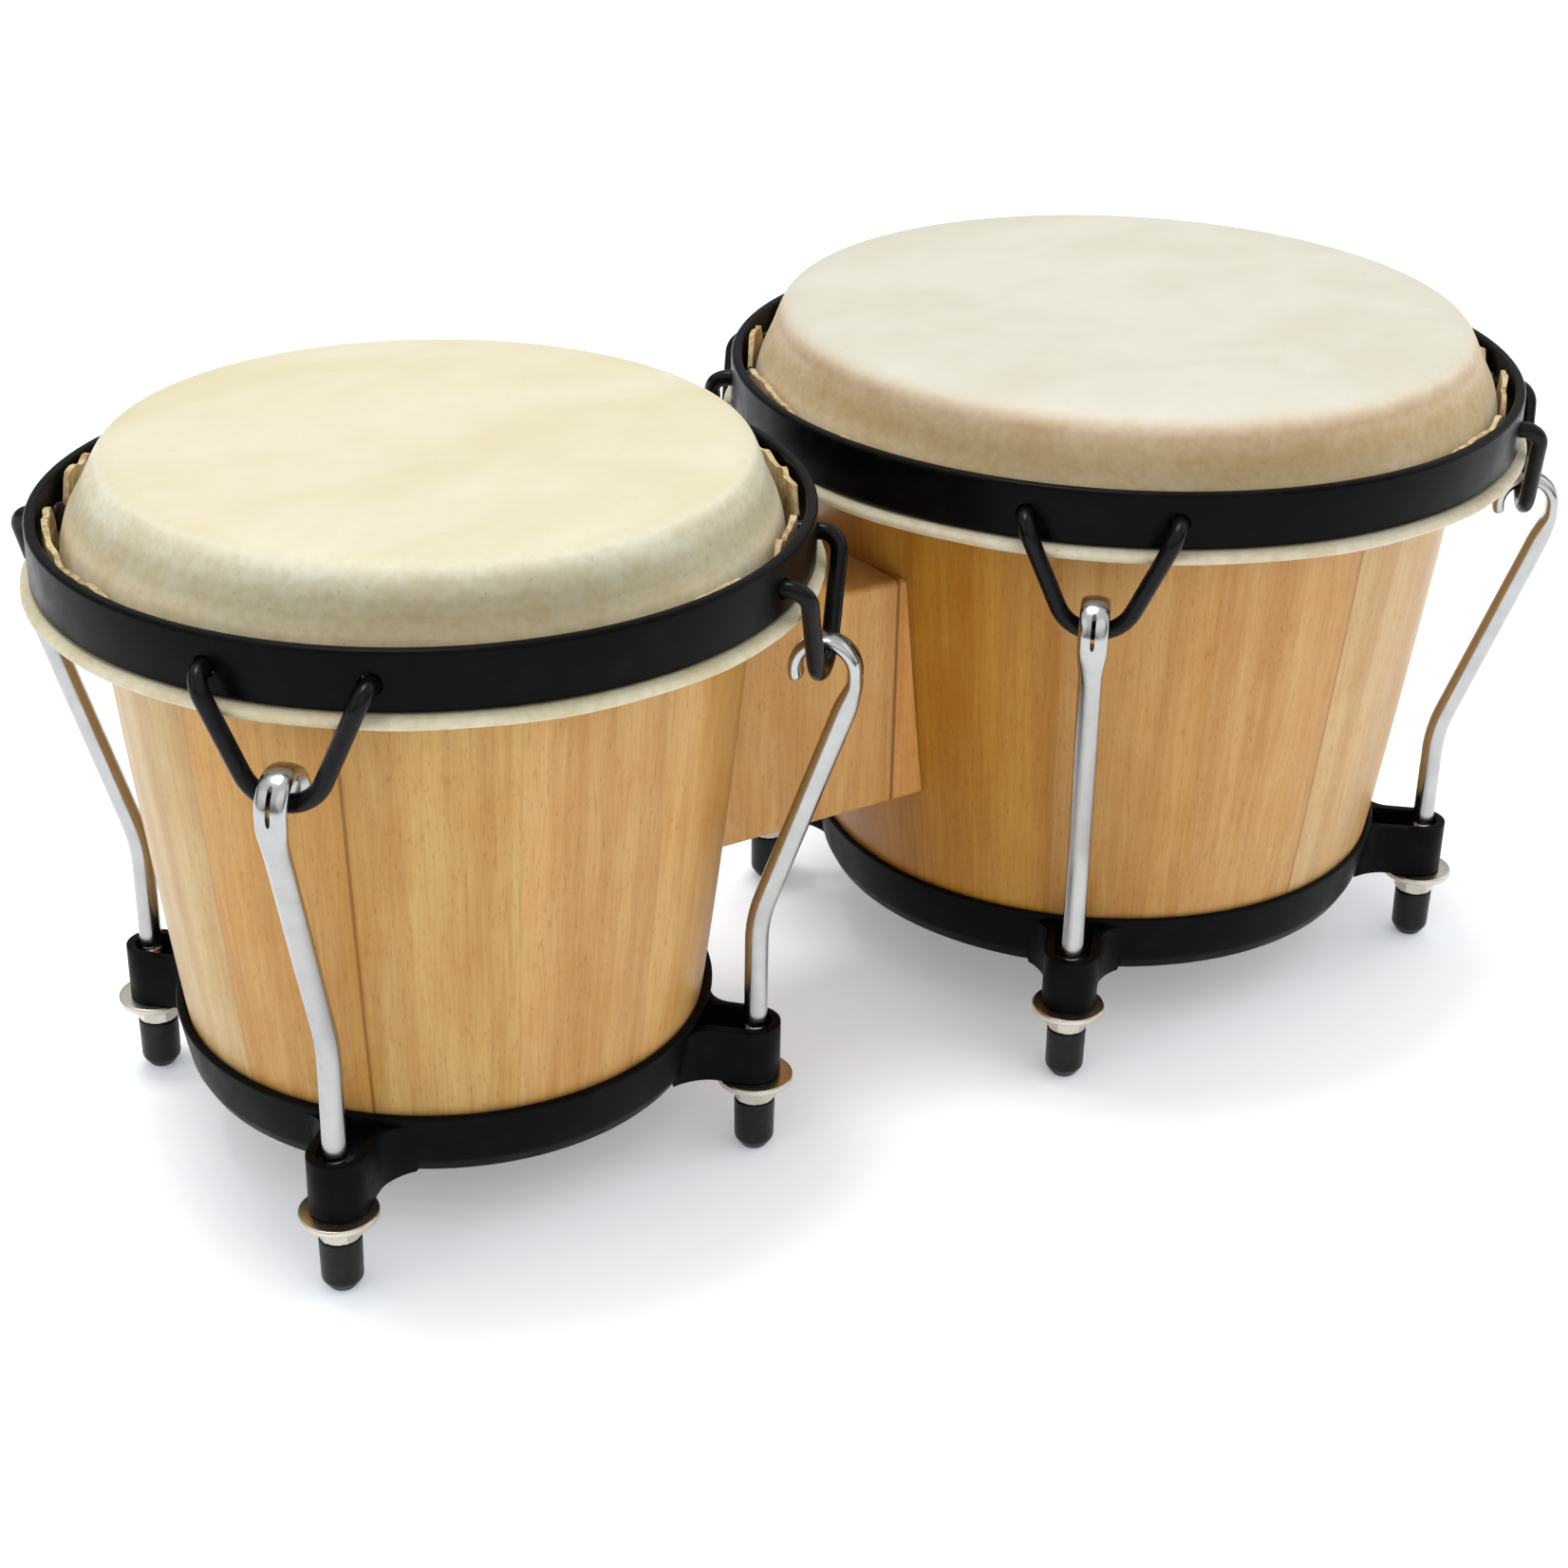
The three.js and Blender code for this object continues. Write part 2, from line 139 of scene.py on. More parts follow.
# ---------------------------------------------------------------------------------------------
# Mesh helpers. Every shape is given in millimetres, a drum's about its own axis, and made in metres.
# ---------------------------------------------------------------------------------------------
def link(name, mesh, place=(0, 0, 0), turn=0.0):
    obj = bpy.data.objects.new(name, mesh)
    obj.matrix_world = Matrix.Translation(Vector(place) * MM) @ Matrix.Rotation(turn, 4, "Z")
    bpy.context.scene.collection.objects.link(obj)
    return obj


def build(name, points, faces, sharp=35.0):
    """A mesh with its faces pointing out, smooth but for edges sharper than an angle."""
    mesh = bpy.data.meshes.new(name)
    mesh.from_pydata([tuple(p) for p in np.asarray(points, float) * MM], [], faces)
    work = bmesh.new()
    work.from_mesh(mesh)
    bmesh.ops.recalc_face_normals(work, faces=work.faces)
    work.to_mesh(mesh)
    work.free()
    finish_mesh(mesh, sharp)
    return mesh


def finish_mesh(mesh, sharp=35.0):
    mesh.shade_smooth()
    mesh.set_sharp_from_angle(angle=math.radians(sharp))
    mesh.update()


def lathe(name, outline, segments=192, sharp=35.0, wave=None):
    """Turns a closed (radius, height) outline about Z. wave(angle, row) may move a point: (dr, dz)."""
    rows = len(outline)
    points, faces = [], []
    for i in range(segments):
        angle = 2 * math.pi * i / segments
        for k, (r, z) in enumerate(outline):
            dr, dz = wave(angle, k) if wave else (0, 0)
            points.append(((r + dr) * math.cos(angle), (r + dr) * math.sin(angle), z + dz))
    for i in range(segments):
        j = (i + 1) % segments
        for k in range(rows):
            m = (k + 1) % rows
            faces.append((i * rows + k, j * rows + k, j * rows + m, i * rows + m))
    return build(name, points, faces, sharp)


def lathe_capped(name, outline, segments=192, sharp=35.0):
    """Turns an outline that starts and ends on the axis."""
    inner = outline[1:-1]
    rows = len(inner)
    points = [(0, 0, outline[0][1]), (0, 0, outline[-1][1])]
    for i in range(segments):
        angle = 2 * math.pi * i / segments
        points += [(r * math.cos(angle), r * math.sin(angle), z) for r, z in inner]
    faces = []
    for i in range(segments):
        j = (i + 1) % segments
        a, b = 2 + i * rows, 2 + j * rows
        faces.append((0, b, a))
        faces += [(a + k, b + k, b + k + 1, a + k + 1) for k in range(rows - 1)]
        faces.append((a + rows - 1, b + rows - 1, 1))
    return build(name, points, faces, sharp)


def fillet(points, radii, steps=6, closed=False):
    """The points of a path or outline with its corners rounded by arcs."""
    points = [np.array(p, float) for p in points]
    count = len(points)
    result = []
    for i, corner in enumerate(points):
        radius = radii[i] if hasattr(radii, "__len__") else radii
        if radius <= 0 or (not closed and i in (0, count - 1)):
            result.append(corner)
            continue
        back = points[i - 1] - corner
        ahead = points[(i + 1) % count] - corner
        reach_back, reach_ahead = np.linalg.norm(back), np.linalg.norm(ahead)
        back, ahead = back / reach_back, ahead / reach_ahead
        angle = math.acos(max(-1, min(1, float(back @ ahead))))
        if math.pi - angle < 1e-3:
            result.append(corner)
            continue
        cut = min(radius / math.tan(angle / 2), reach_back * 0.49, reach_ahead * 0.49)
        radius = cut * math.tan(angle / 2)
        middle = back + ahead
        centre = corner + middle / np.linalg.norm(middle) * (radius / math.sin(angle / 2))
        start, end = corner + back * cut - centre, corner + ahead * cut - centre
        sweep = math.acos(max(-1, min(1, float(start @ end) / radius**2)))
        for t in (s / steps for s in range(steps + 1)):
            arc = start * math.sin((1 - t) * sweep) + end * math.sin(t * sweep)
            result.append(centre + arc / math.sin(sweep))
    return result


def spaced(path, gap):
    """The path's points with more between them, so that none are further apart than gap."""
    result = [path[0]]
    for a, b in zip(path, path[1:]):
        steps = max(1, math.ceil(np.linalg.norm(b - a) / gap))
        result += [a + (b - a) * k / steps for k in range(1, steps + 1)]
    return result


def superellipse(half_x, half_y, power, sides):
    angles = [2 * math.pi * i / sides for i in range(sides)]
    return [
        (
            half_x * math.copysign(abs(math.cos(a)) ** (2 / power), math.cos(a)),
            half_y * math.copysign(abs(math.sin(a)) ** (2 / power), math.sin(a)),
        )
        for a in angles
    ]


def sweep_mesh(name, path, section, first_side, sharp=35.0):
    """Sweeps section(distance along, total) -> (x, y) points down a path. Its x starts along first_side."""
    path = np.array(path, float)
    tangents = np.gradient(path, axis=0)
    tangents /= np.linalg.norm(tangents, axis=1)[:, None]
    side = np.array(first_side, float)
    travelled = np.concatenate([[0], np.cumsum(np.linalg.norm(np.diff(path, axis=0), axis=1))])
    points, rings = [], []
    for centre, tangent, along in zip(path, tangents, travelled):
        side = side - tangent * (side @ tangent)
        side /= np.linalg.norm(side)
        up = np.cross(tangent, side)
        ring = section(along, travelled[-1])
        rings.append(range(len(points), len(points) + len(ring)))
        points += [centre + side * x + up * y for x, y in ring]
    sides = len(rings[0])
    faces = []
    for a, b in zip(rings, rings[1:]):
        faces += [(a[k], a[(k + 1) % sides], b[(k + 1) % sides], b[k]) for k in range(sides)]
    faces += [tuple(reversed(rings[0])), tuple(rings[-1])]
    return build(name, points, faces, sharp)


def prism(name, outline, bottom, top, sharp=35.0):
    count = len(outline)
    points = [(x, y, bottom) for x, y in outline] + [(x, y, top) for x, y in outline]
    faces = [(k, (k + 1) % count, count + (k + 1) % count, count + k) for k in range(count)]
    faces += [tuple(reversed(range(count))), tuple(range(count, 2 * count))]
    return build(name, points, faces, sharp)


def apply_modifiers(obj):
    depsgraph = bpy.context.evaluated_depsgraph_get()
    obj.update_tag()
    bpy.context.view_layer.update()
    mesh = bpy.data.meshes.new_from_object(obj.evaluated_get(depsgraph))
    mesh.name = obj.data.name
    obj.modifiers.clear()
    obj.data = mesh
    return mesh


def cut(obj, tools, sharp=35.0):
    """Cuts the tools out of obj one by one, and removes them."""
    for tool in tools:
        modifier = obj.modifiers.new("cut", "BOOLEAN")
        modifier.operation, modifier.solver, modifier.object = "DIFFERENCE", "EXACT", tool
        mesh = apply_modifiers(obj)
        bpy.data.objects.remove(tool)
    finish_mesh(mesh, sharp)
    return mesh


def bevel(obj, width, segments, angle, sharp):
    modifier = obj.modifiers.new("bevel", "BEVEL")
    modifier.width, modifier.segments = width * MM, segments
    modifier.limit_method, modifier.angle_limit = "ANGLE", math.radians(angle)
    modifier.use_clamp_overlap = True
    mesh = apply_modifiers(obj)
    finish_mesh(mesh, sharp)
    return mesh


def drill(name, radius, start, end, matrix):
    """A bar to cut a round hole with, along Z from start to end before the matrix moves it."""
    bar = lathe_capped(name, [(0, start), (radius, start), (radius, end), (0, end)], 24)
    tool = bpy.data.objects.new(name, bar)
    tool.matrix_world = matrix
    bpy.context.scene.collection.objects.link(tool)
    return tool


# ---------------------------------------------------------------------------------------------
# Material helpers
# ---------------------------------------------------------------------------------------------
class Shader:
    """A material's node tree, with one short call for each kind of node."""

    def __init__(self, name, **principled):
        self.material = bpy.data.materials.new(name)
        self.material.use_nodes = True
        self.tree = self.material.node_tree
        self.bsdf = self.tree.nodes["Principled BSDF"]
        for key, value in principled.items():
            self.bsdf.inputs[key.replace("_", " ")].default_value = value

    def node(self, kind, inputs=(), **settings):
        node = self.tree.nodes.new(kind)
        for key, value in settings.items():
            setattr(node, key, value)
        for key, value in dict(inputs).items():
            self.put(node.inputs[key], value)
        return node

    def put(self, socket, value):
        if isinstance(value, bpy.types.NodeSocket):
            self.tree.links.new(value, socket)
        else:
            socket.default_value = value

    def set(self, key, value):
        self.put(self.bsdf.inputs[key], value)

    def math(self, operation, a, b=0.0, c=0.0):
        return self.node("ShaderNodeMath", {0: a, 1: b, 2: c}, operation=operation).outputs[0]

    def add(self, a, b):
        """The sum of two vectors."""
        return self.node("ShaderNodeVectorMath", {0: a, 1: b}, operation="ADD").outputs[0]

    def split(self, vector):
        return self.node("ShaderNodeSeparateXYZ", {0: vector}).outputs

    def mix(self, factor, a, b, blend="MIX"):
        node = self.node("ShaderNodeMix", data_type="RGBA", blend_type=blend)
        for index, value in ((0, factor), (6, a), (7, b)):
            self.put(node.inputs[index], value)
        return node.outputs[2]

    def tint(self, colour, by):
        return self.mix(1.0, colour, by, "MULTIPLY")

    def span(self, value, low, high, to_low=0.0, to_high=1.0):
        """A smooth step from to_low, where the value is low, to to_high, where it is high."""
        inputs = {0: value, 1: low, 2: high, 3: to_low, 4: to_high}
        return self.node("ShaderNodeMapRange", inputs, interpolation_type="SMOOTHSTEP").outputs[0]

    def ramp(self, value, stops, interpolation="LINEAR"):
        node = self.node("ShaderNodeValToRGB", {0: value})
        ramp = node.color_ramp
        ramp.interpolation = interpolation
        while len(ramp.elements) < len(stops):
            ramp.elements.new(0.5)
        for element, (place, colour) in zip(ramp.elements, stops):
            element.position = place
            element.color = (*colour, 1)
        return node.outputs[0]

    def object_mm(self):
        """The point in millimetres about the piece's own origin, or the frame's for a blended piece."""
        place = self.node("ShaderNodeTexCoord").outputs["Object"]
        return self.node("ShaderNodeVectorMath", {0: place, 3: 1 / MM}, operation="SCALE").outputs[0]

    def noise(self, place, size, detail=2.0, roughness=0.5, distortion=0.0):
        """Noise whose features are about size millimetres, one number or one for each axis."""
        scale = tuple(1 / s for s in (size if hasattr(size, "__len__") else (size,) * 3))
        scaled = self.node("ShaderNodeVectorMath", {0: place, 1: scale}, operation="MULTIPLY").outputs[0]
        inputs = {"Vector": scaled, "Scale": 1.0, "Detail": detail, "Roughness": roughness,
                  "Distortion": distortion}
        return self.node("ShaderNodeTexNoise", inputs).outputs[0]

    def bump(self, height, depth, strength=1.0):
        inputs = {"Height": height, "Distance": depth * MM, "Strength": strength}
        return self.node("ShaderNodeBump", inputs).outputs[0]


def rgb(r, g, b):
    """An 8-bit display colour as the linear numbers that a shader takes."""
    def line(v):
        v /= 255
        return v / 12.92 if v <= 0.04045 else ((v + 0.055) / 1.055) ** 2.4

    return (line(r), line(g), line(b))


def rgba(r, g, b):
    return (*rgb(r, g, b), 1.0)


# ---------------------------------------------------------------------------------------------
# Materials
# ---------------------------------------------------------------------------------------------
def grain(shader, place, tone):
    """Lacquered straight-grained wood of a base tone, with streaks, fibres and open pores along Z."""
    drift = shader.noise(place, (22, 22, 90), detail=1)
    shift = shader.math("MULTIPLY", shader.math("SUBTRACT", drift, 0.5), 5.0)
    offset = shader.node("ShaderNodeCombineXYZ", {0: shift, 1: shift}).outputs[0]
    place = shader.add(place, offset)
    broad = shader.noise(place, (9, 9, 150), detail=2)
    streak = shader.noise(place, (1.9, 1.9, 42), detail=3, roughness=0.6)
    fibre = shader.noise(place, (0.45, 0.45, 11), detail=2, roughness=0.6)
    cloud = shader.noise(place, (14, 14, 20), detail=4, roughness=0.6)
    pore = shader.span(shader.noise(place, (0.45, 0.45, 3.0), detail=1), 0.64, 0.72)
    value = shader.math("MULTIPLY_ADD", broad, 0.75, shader.math("MULTIPLY", streak, 0.5))
    dark = shader.tint(tone, rgba(236, 222, 198))
    light = shader.tint(tone, (1.06, 1.08, 1.1, 1))
    colour = shader.mix(shader.span(value, 0.42, 0.86), dark, light)
    warm = shader.tint(colour, rgba(250, 232, 196))
    colour = shader.mix(shader.span(cloud, 0.35, 0.72, 0.0, 0.6), colour, warm)
    thin = shader.tint(colour, rgba(232, 218, 196))
    colour = shader.mix(shader.span(fibre, 0.35, 0.7, 0.0, 0.4), colour, thin)
    open_pore = shader.tint(colour, rgba(176, 132, 88))
    colour = shader.mix(shader.math("MULTIPLY", pore, 0.32), colour, open_pore)
    shader.set("Roughness", shader.span(streak, 0.3, 0.7, 0.36, 0.46))
    height = shader.math("SUBTRACT", shader.math("MULTIPLY", fibre, 0.4), pore)
    shader.set("Normal", shader.bump(height, 0.04))
    return colour


def stave_wood(name, drum, first_seam, tones, seams):
    """Wood of glued staves round a drum: each stave's tone, and how dark the seam at its start is."""
    shader = Shader(name, Coat_Weight=0.12, Coat_Roughness=0.2, Specular_IOR_Level=0.25)
    place = shader.object_mm()
    parts = shader.split(place)
    angle = shader.math("ARCTAN2", parts[1], parts[0])
    radius = (drum.cone[0] + drum.cone[1]) / 2
    across_x = shader.math("MULTIPLY", shader.math("COSINE", angle), radius)
    across_y = shader.math("MULTIPLY", shader.math("SINE", angle), radius)
    around = shader.node("ShaderNodeCombineXYZ", {0: across_x, 1: across_y, 2: parts[2]}).outputs[0]
    turn = shader.math("FRACT", shader.math("MULTIPLY_ADD", angle, 1 / math.tau, 2 - first_seam / 360))
    count = len(tones)
    stave = shader.math("MULTIPLY", turn, count)
    lift = shader.math("MULTIPLY", shader.math("FLOOR", stave), 61.0)
    shifted = shader.add(around, shader.node("ShaderNodeCombineXYZ", {2: lift}).outputs[0])
    tone = shader.ramp(turn, [(i / count, rgb(*t)) for i, t in enumerate(tones)], "CONSTANT")
    colour = grain(shader, shifted, tone)
    across = shader.math("FRACT", stave)
    edge = shader.math("MINIMUM", across, shader.math("SUBTRACT", 1.0, across))
    width = math.tau * radius / count
    near = shader.span(shader.math("MULTIPLY", edge, width), 0.12, 0.75, 1.0, 0.0)
    nearest = shader.math("FRACT", shader.math("ADD", turn, 0.5 / count))
    depth = shader.ramp(nearest, [(i / count, (v, v, v)) for i, v in enumerate(seams)], "CONSTANT")
    colour = shader.mix(shader.math("MULTIPLY", near, depth), colour, rgba(116, 74, 34))
    shader.set("Base Color", colour)
    return shader.material


def block_wood(seam_x):
    """Wood of two boards glued at seam_x."""
    shader = Shader("block_wood", Coat_Weight=0.12, Coat_Roughness=0.22, Specular_IOR_Level=0.25)
    place = shader.object_mm()
    parts = shader.split(place)
    side = shader.math("GREATER_THAN", parts[0], seam_x)
    tone = shader.mix(side, rgba(205, 160, 98), rgba(214, 160, 92))
    colour = grain(shader, shader.add(place, (7.0, 41.0, 13.0)), tone)
    gap = shader.math("ABSOLUTE", shader.math("SUBTRACT", parts[0], seam_x))
    colour = shader.mix(shader.span(gap, 0.1, 0.9, 0.75, 0.0), colour, rgba(96, 52, 22))
    shader.set("Base Color", colour)
    return shader.material


def rawhide(name, drum, top, top_patch, wall, dark_side):
    """Scraped skin: a pale top over a mottled wall, given as (mm below the top, colour) down its side, with
    painted shade and painted light in the wall's colours.

    The wall is painted lighter at right angles to dark_side, an angle in degrees about the drum's axis:
    painted light on the wall's sides, so that it stays darkest, as painted shade, towards dark_side and its
    opposite.
    """
    shader = Shader(name, Specular_IOR_Level=0.3)
    place = shader.object_mm()
    parts = shader.split(place)
    drop = shader.math("SUBTRACT", drum.head_top, parts[2])
    sweep = shader.noise(place, (60, 34, 60), detail=2, distortion=0.6)
    patch = shader.noise(place, 17, detail=3, roughness=0.6)
    fleck = shader.noise(place, 2.4, detail=3, roughness=0.6)
    fine = shader.noise(place, 0.7, detail=2, roughness=0.6)
    dot = shader.span(shader.noise(place, 1.15, detail=1), 0.71, 0.78)
    flat = shader.mix(shader.span(sweep, 0.35, 0.68), top, top_patch)
    ragged = shader.math("MULTIPLY_ADD", shader.math("SUBTRACT", patch, 0.5), 1.6, drop)
    bands = shader.ramp(shader.math("DIVIDE", ragged, 40.0), [(at / 40, rgb(*c)) for at, c in wall])
    from_axis = shader.math("SUBTRACT", parts[0], drum.x)
    turn = math.radians(dark_side)
    across = shader.math("SUBTRACT", shader.math("MULTIPLY", from_axis, math.sin(turn)),
                         shader.math("MULTIPLY", parts[1], math.cos(turn)))
    side = shader.math("DIVIDE", shader.math("ABSOLUTE", across), drum.head)
    # Painted light: the wall's colour made paler towards its sides, as if lit more there than where it faces
    # dark_side.
    painted_side_light = shader.tint(bands, (1.36, 1.4, 1.5, 1))
    fold, foot = shader.span(ragged, 4.0, 8.0), shader.span(drop, 22.0, 27.0, 1.0, 0.0)
    on_wall = shader.math("MULTIPLY", fold, foot)
    bands = shader.mix(shader.math("MULTIPLY", shader.span(side, 0.3, 0.95), on_wall), bands, painted_side_light)
    colour = shader.mix(shader.span(ragged, wall[0][0] - 1.6, wall[0][0]), flat, bands)
    depth = shader.span(drop, 1.0, 6.0, 0.2, 1.0)
    blotch = shader.tint(colour, rgba(246, 240, 228))
    colour = shader.mix(shader.math("MULTIPLY", shader.span(patch, 0.36, 0.66), depth), colour, blotch)
    speck = shader.tint(colour, rgba(238, 230, 214))
    amount = shader.math("MULTIPLY", shader.span(fleck, 0.38, 0.66), shader.math("MULTIPLY", depth, 0.5))
    colour = shader.mix(amount, colour, speck)
    pit = shader.tint(colour, rgba(214, 194, 164))
    colour = shader.mix(shader.math("MULTIPLY", dot, shader.math("MULTIPLY", depth, 0.45)), colour, pit)
    shader.set("Base Color", colour)
    shader.set("Roughness", shader.span(fleck, 0.3, 0.7, 0.46, 0.6))
    height = shader.math("MULTIPLY_ADD", fine, 0.4, fleck)
    shader.set("Normal", shader.bump(height, 0.10, 0.7))
    return shader.material


def cut_skin(name, pale, brown):
    """The skin's folded and cut edge: drier, streaked, and stained brown in patches."""
    shader = Shader(name, Specular_IOR_Level=0.3)
    place = shader.object_mm()
    fleck = shader.noise(place, (2.2, 2.2, 4.0), detail=4, roughness=0.65)
    cloud = shader.noise(place, 11, detail=2)
    value = shader.math("MULTIPLY_ADD", fleck, 0.75, shader.math("MULTIPLY", cloud, 0.4))
    colour = shader.mix(shader.span(value, 0.46, 0.76), pale, brown)
    shader.set("Base Color", colour)
    shader.set("Roughness", shader.span(fleck, 0.3, 0.7, 0.55, 0.75))
    shader.set("Normal", shader.bump(fleck, 0.25))
    return shader.material


def coated_steel(name, colour, rough, level):
    """Powder coat: nearly black, with a fine orange-peel surface and a little dust in it."""
    shader = Shader(name, Specular_IOR_Level=level)
    place = shader.object_mm()
    peel = shader.noise(place, 0.9, detail=2)
    wear = shader.noise(place, 9, detail=4, roughness=0.65)
    dust = tuple(c * 2.2 + 0.002 for c in colour)
    shader.set("Base Color", shader.mix(shader.span(wear, 0.45, 0.75, 0.0, 0.6), (*colour, 1), (*dust, 1)))
    shader.set("Roughness", shader.span(wear, 0.35, 0.7, rough - 0.04, rough + 0.08))
    shader.set("Normal", shader.bump(peel, 0.02))
    return shader.material


def plated(name, colour, rough, streaks, thread=None):
    """Plated metal with faint polishing marks, and a rolled thread below a height if there is one."""
    shader = Shader(name, Metallic=1.0)
    place = shader.object_mm()
    haze = shader.noise(place, 5.0, detail=3)
    brush = shader.noise(place, streaks, detail=2)
    tint = tuple(c * 0.93 for c in colour)
    shader.set("Base Color", shader.mix(shader.span(haze, 0.4, 0.7), (*colour, 1), (*tint, 1)))
    shader.set("Roughness", shader.span(haze, 0.35, 0.7, rough, rough + 0.07))
    height = shader.math("MULTIPLY", brush, 0.02)
    if thread:
        height = thread(shader, place, height)
    shader.set("Normal", shader.bump(height, 0.5))
    return shader.material


def rod_thread(radius):
    """Adds the bump of a 1 mm pitch thread up to 38 mm above the floor on a rod at that radius."""
    def shape(shader, place, height):
        parts = shader.split(place)
        angle = shader.math("ARCTAN2", parts[1], shader.math("SUBTRACT", parts[0], radius))
        phase = shader.math("FRACT", shader.math("MULTIPLY_ADD", angle, -1 / math.tau, parts[2]))
        ridge = shader.math("ABSOLUTE", shader.math("SUBTRACT", phase, 0.5))
        below = shader.span(parts[2], 36.5, 38.0, 1.0, 0.0)
        return shader.math("MULTIPLY_ADD", ridge, shader.math("MULTIPLY", below, 1.1), height)

    return shape


def moulded_rubber():
    shader = Shader("black_rubber", Specular_IOR_Level=0.25)
    place = shader.object_mm()
    bloom = shader.noise(place, 3.0, detail=4, roughness=0.6)
    faded = shader.span(bloom, 0.45, 0.75)
    shader.set("Base Color", shader.mix(faded, (0.004, 0.004, 0.004, 1), (0.011, 0.011, 0.012, 1)))
    shader.set("Roughness", shader.span(bloom, 0.35, 0.7, 0.3, 0.48))
    shader.set("Normal", shader.bump(shader.noise(place, 0.5), 0.02))
    return shader.material


def floor_paper():
    """White paper that glows a little, so that its shadows stay light and cool."""
    shader = Shader("floor_paper", Roughness=0.9, Specular_IOR_Level=0.1, Emission_Strength=0.25)
    place = shader.object_mm()
    tooth = shader.noise(place, 3.0, detail=2)
    shader.set("Base Color", shader.mix(tooth, (0.935, 0.945, 0.955, 1), (0.955, 0.96, 0.97, 1)))
    shader.set("Emission Color", (0.81, 0.89, 1.0, 1))
    return shader.material


SMALL_TONES = [
    (198, 154, 87), (198, 161, 98), (199, 158, 99), (203, 161, 98), (194, 154, 93), (200, 162, 103),
    (188, 148, 87), (203, 165, 105), (196, 154, 95), (207, 168, 109), (202, 162, 101), (199, 173, 123),
]
# The first and last staves, which face the small drum, are a deeper orange-brown: painted warm shade from the
# small drum over the staves' own tone.
LARGE_TONES = [
    (187, 138, 50), (192, 148, 84), (197, 155, 98), (200, 167, 117), (202, 162, 102), (190, 148, 88),
    (204, 166, 108), (196, 152, 90), (184, 142, 80), (200, 160, 100), (192, 150, 88), (205, 164, 104),
    (184, 140, 78), (180, 130, 56),
]
SMALL_SEAMS = [0.18, 0.72, 0.16, 0.08, 0.22, 0.12, 0.30, 0.10, 0.20, 0.35, 0.12, 0.16]
LARGE_SEAMS = [0.20, 0.10, 0.06, 0.42, 0.12, 0.06, 0.18, 0.10, 0.26, 0.08, 0.20, 0.34, 0.12, 0.10]
WOOD = {
    "small": stave_wood("small_stave_wood", small, 198.5, SMALL_TONES, SMALL_SEAMS),
    "large": stave_wood("large_stave_wood", large, 196.5, LARGE_TONES, LARGE_SEAMS),
}
# The walls' colours down the side: darker 8 to 13 mm below the top, partly the skin's own greyer tone and
# partly painted shade where it turns down; paler again from 16.5 mm down, painted light against the shade
# under the rim.
SMALL_WALL = [
    (3.2, (220, 215, 194)), (4.6, (212, 207, 186)), (6.0, (196, 191, 169)), (8.0, (182, 176, 152)),
    (10.0, (168, 161, 136)), (13.0, (168, 159, 130)), (16.5, (200, 188, 158)), (20.0, (190, 181, 154)),
    (28.0, (206, 199, 174)),
]
LARGE_WALL = [
    (2.4, (212, 200, 180)), (3.8, (206, 186, 159)), (5.6, (186, 164, 134)), (8.0, (179, 157, 123)),
    (11.0, (168, 147, 108)), (13.5, (174, 153, 116)), (16.5, (192, 174, 140)), (20.0, (190, 176, 148)),
    (28.0, (206, 198, 176)),
]
SKIN = {
    "small": rawhide("small_rawhide", small, rgba(216, 209, 185), rgba(211, 202, 170), SMALL_WALL, 245),
    "large": rawhide("large_rawhide", large, rgba(208, 204, 190), rgba(202, 198, 181), LARGE_WALL, 230),
}
BLOCK_WOOD = block_wood(small.x + 122.8)
CUT_SKIN = cut_skin("cut_skin", rgba(206, 186, 142), rgba(148, 112, 72))
RIM_STEEL = coated_steel("rim_black", (0.0013, 0.0013, 0.0016), 0.32, 0.06)
RING_STEEL = coated_steel("ring_black", (0.002, 0.002, 0.0024), 0.4, 0.05)
HOOK_STEEL = coated_steel("hook_black", (0.0025, 0.0025, 0.003), 0.26, 0.15)
CHROME = {d.name: plated(f"{d.name}_rod_chrome", (0.44, 0.44, 0.435), 0.17, (0.6, 0.6, 6), rod_thread(d.rod))
          for d in (small, large)}
ZINC = plated("zinc_plate", (0.62, 0.58, 0.50), 0.26, (0.5, 0.5, 0.5))
RUBBER = moulded_rubber()


# ---------------------------------------------------------------------------------------------
# Pieces
# ---------------------------------------------------------------------------------------------
def dress(obj, material):
    obj.data.materials.clear()
    obj.data.materials.append(material)


def mount(obj, material, slot, body, *nodes):
    """Finishes a piece: its material, the CAD body it rides on and the CAD nodes it stands for."""
    dress(obj, material)
    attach(obj, body)
    if nodes:
        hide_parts(*nodes)


def ripple(seed, lowest, highest, count):
    """A smooth periodic function of an angle, from about -1 to 1."""
    draws = np.random.RandomState(seed)
    waves = draws.randint(lowest, highest, count)
    phases = draws.uniform(0, math.tau, count)
    sizes = draws.uniform(0.4, 1.0, count)
    scale = 1.6 / sizes.sum()
    return lambda angle: scale * float(np.sum(sizes * np.sin(waves * angle + phases)))


def curve_through(points, steps):
    """A Catmull-Rom curve through the points, for outlines."""
    points = [np.array(p, float) for p in points]
    ends = [2 * points[0] - points[1], *points, 2 * points[-1] - points[-2]]
    result = []
    for a, b, c, d in zip(ends, ends[1:], ends[2:], ends[3:]):
        for k in range(steps):
            t = k / steps
            square, cube = (2 * a - 5 * b + 4 * c - d) * t**2, (3 * b - a - 3 * c + d) * t**3
            result.append(0.5 * (2 * b + (c - a) * t + square + cube))
    return result + [points[-1]]


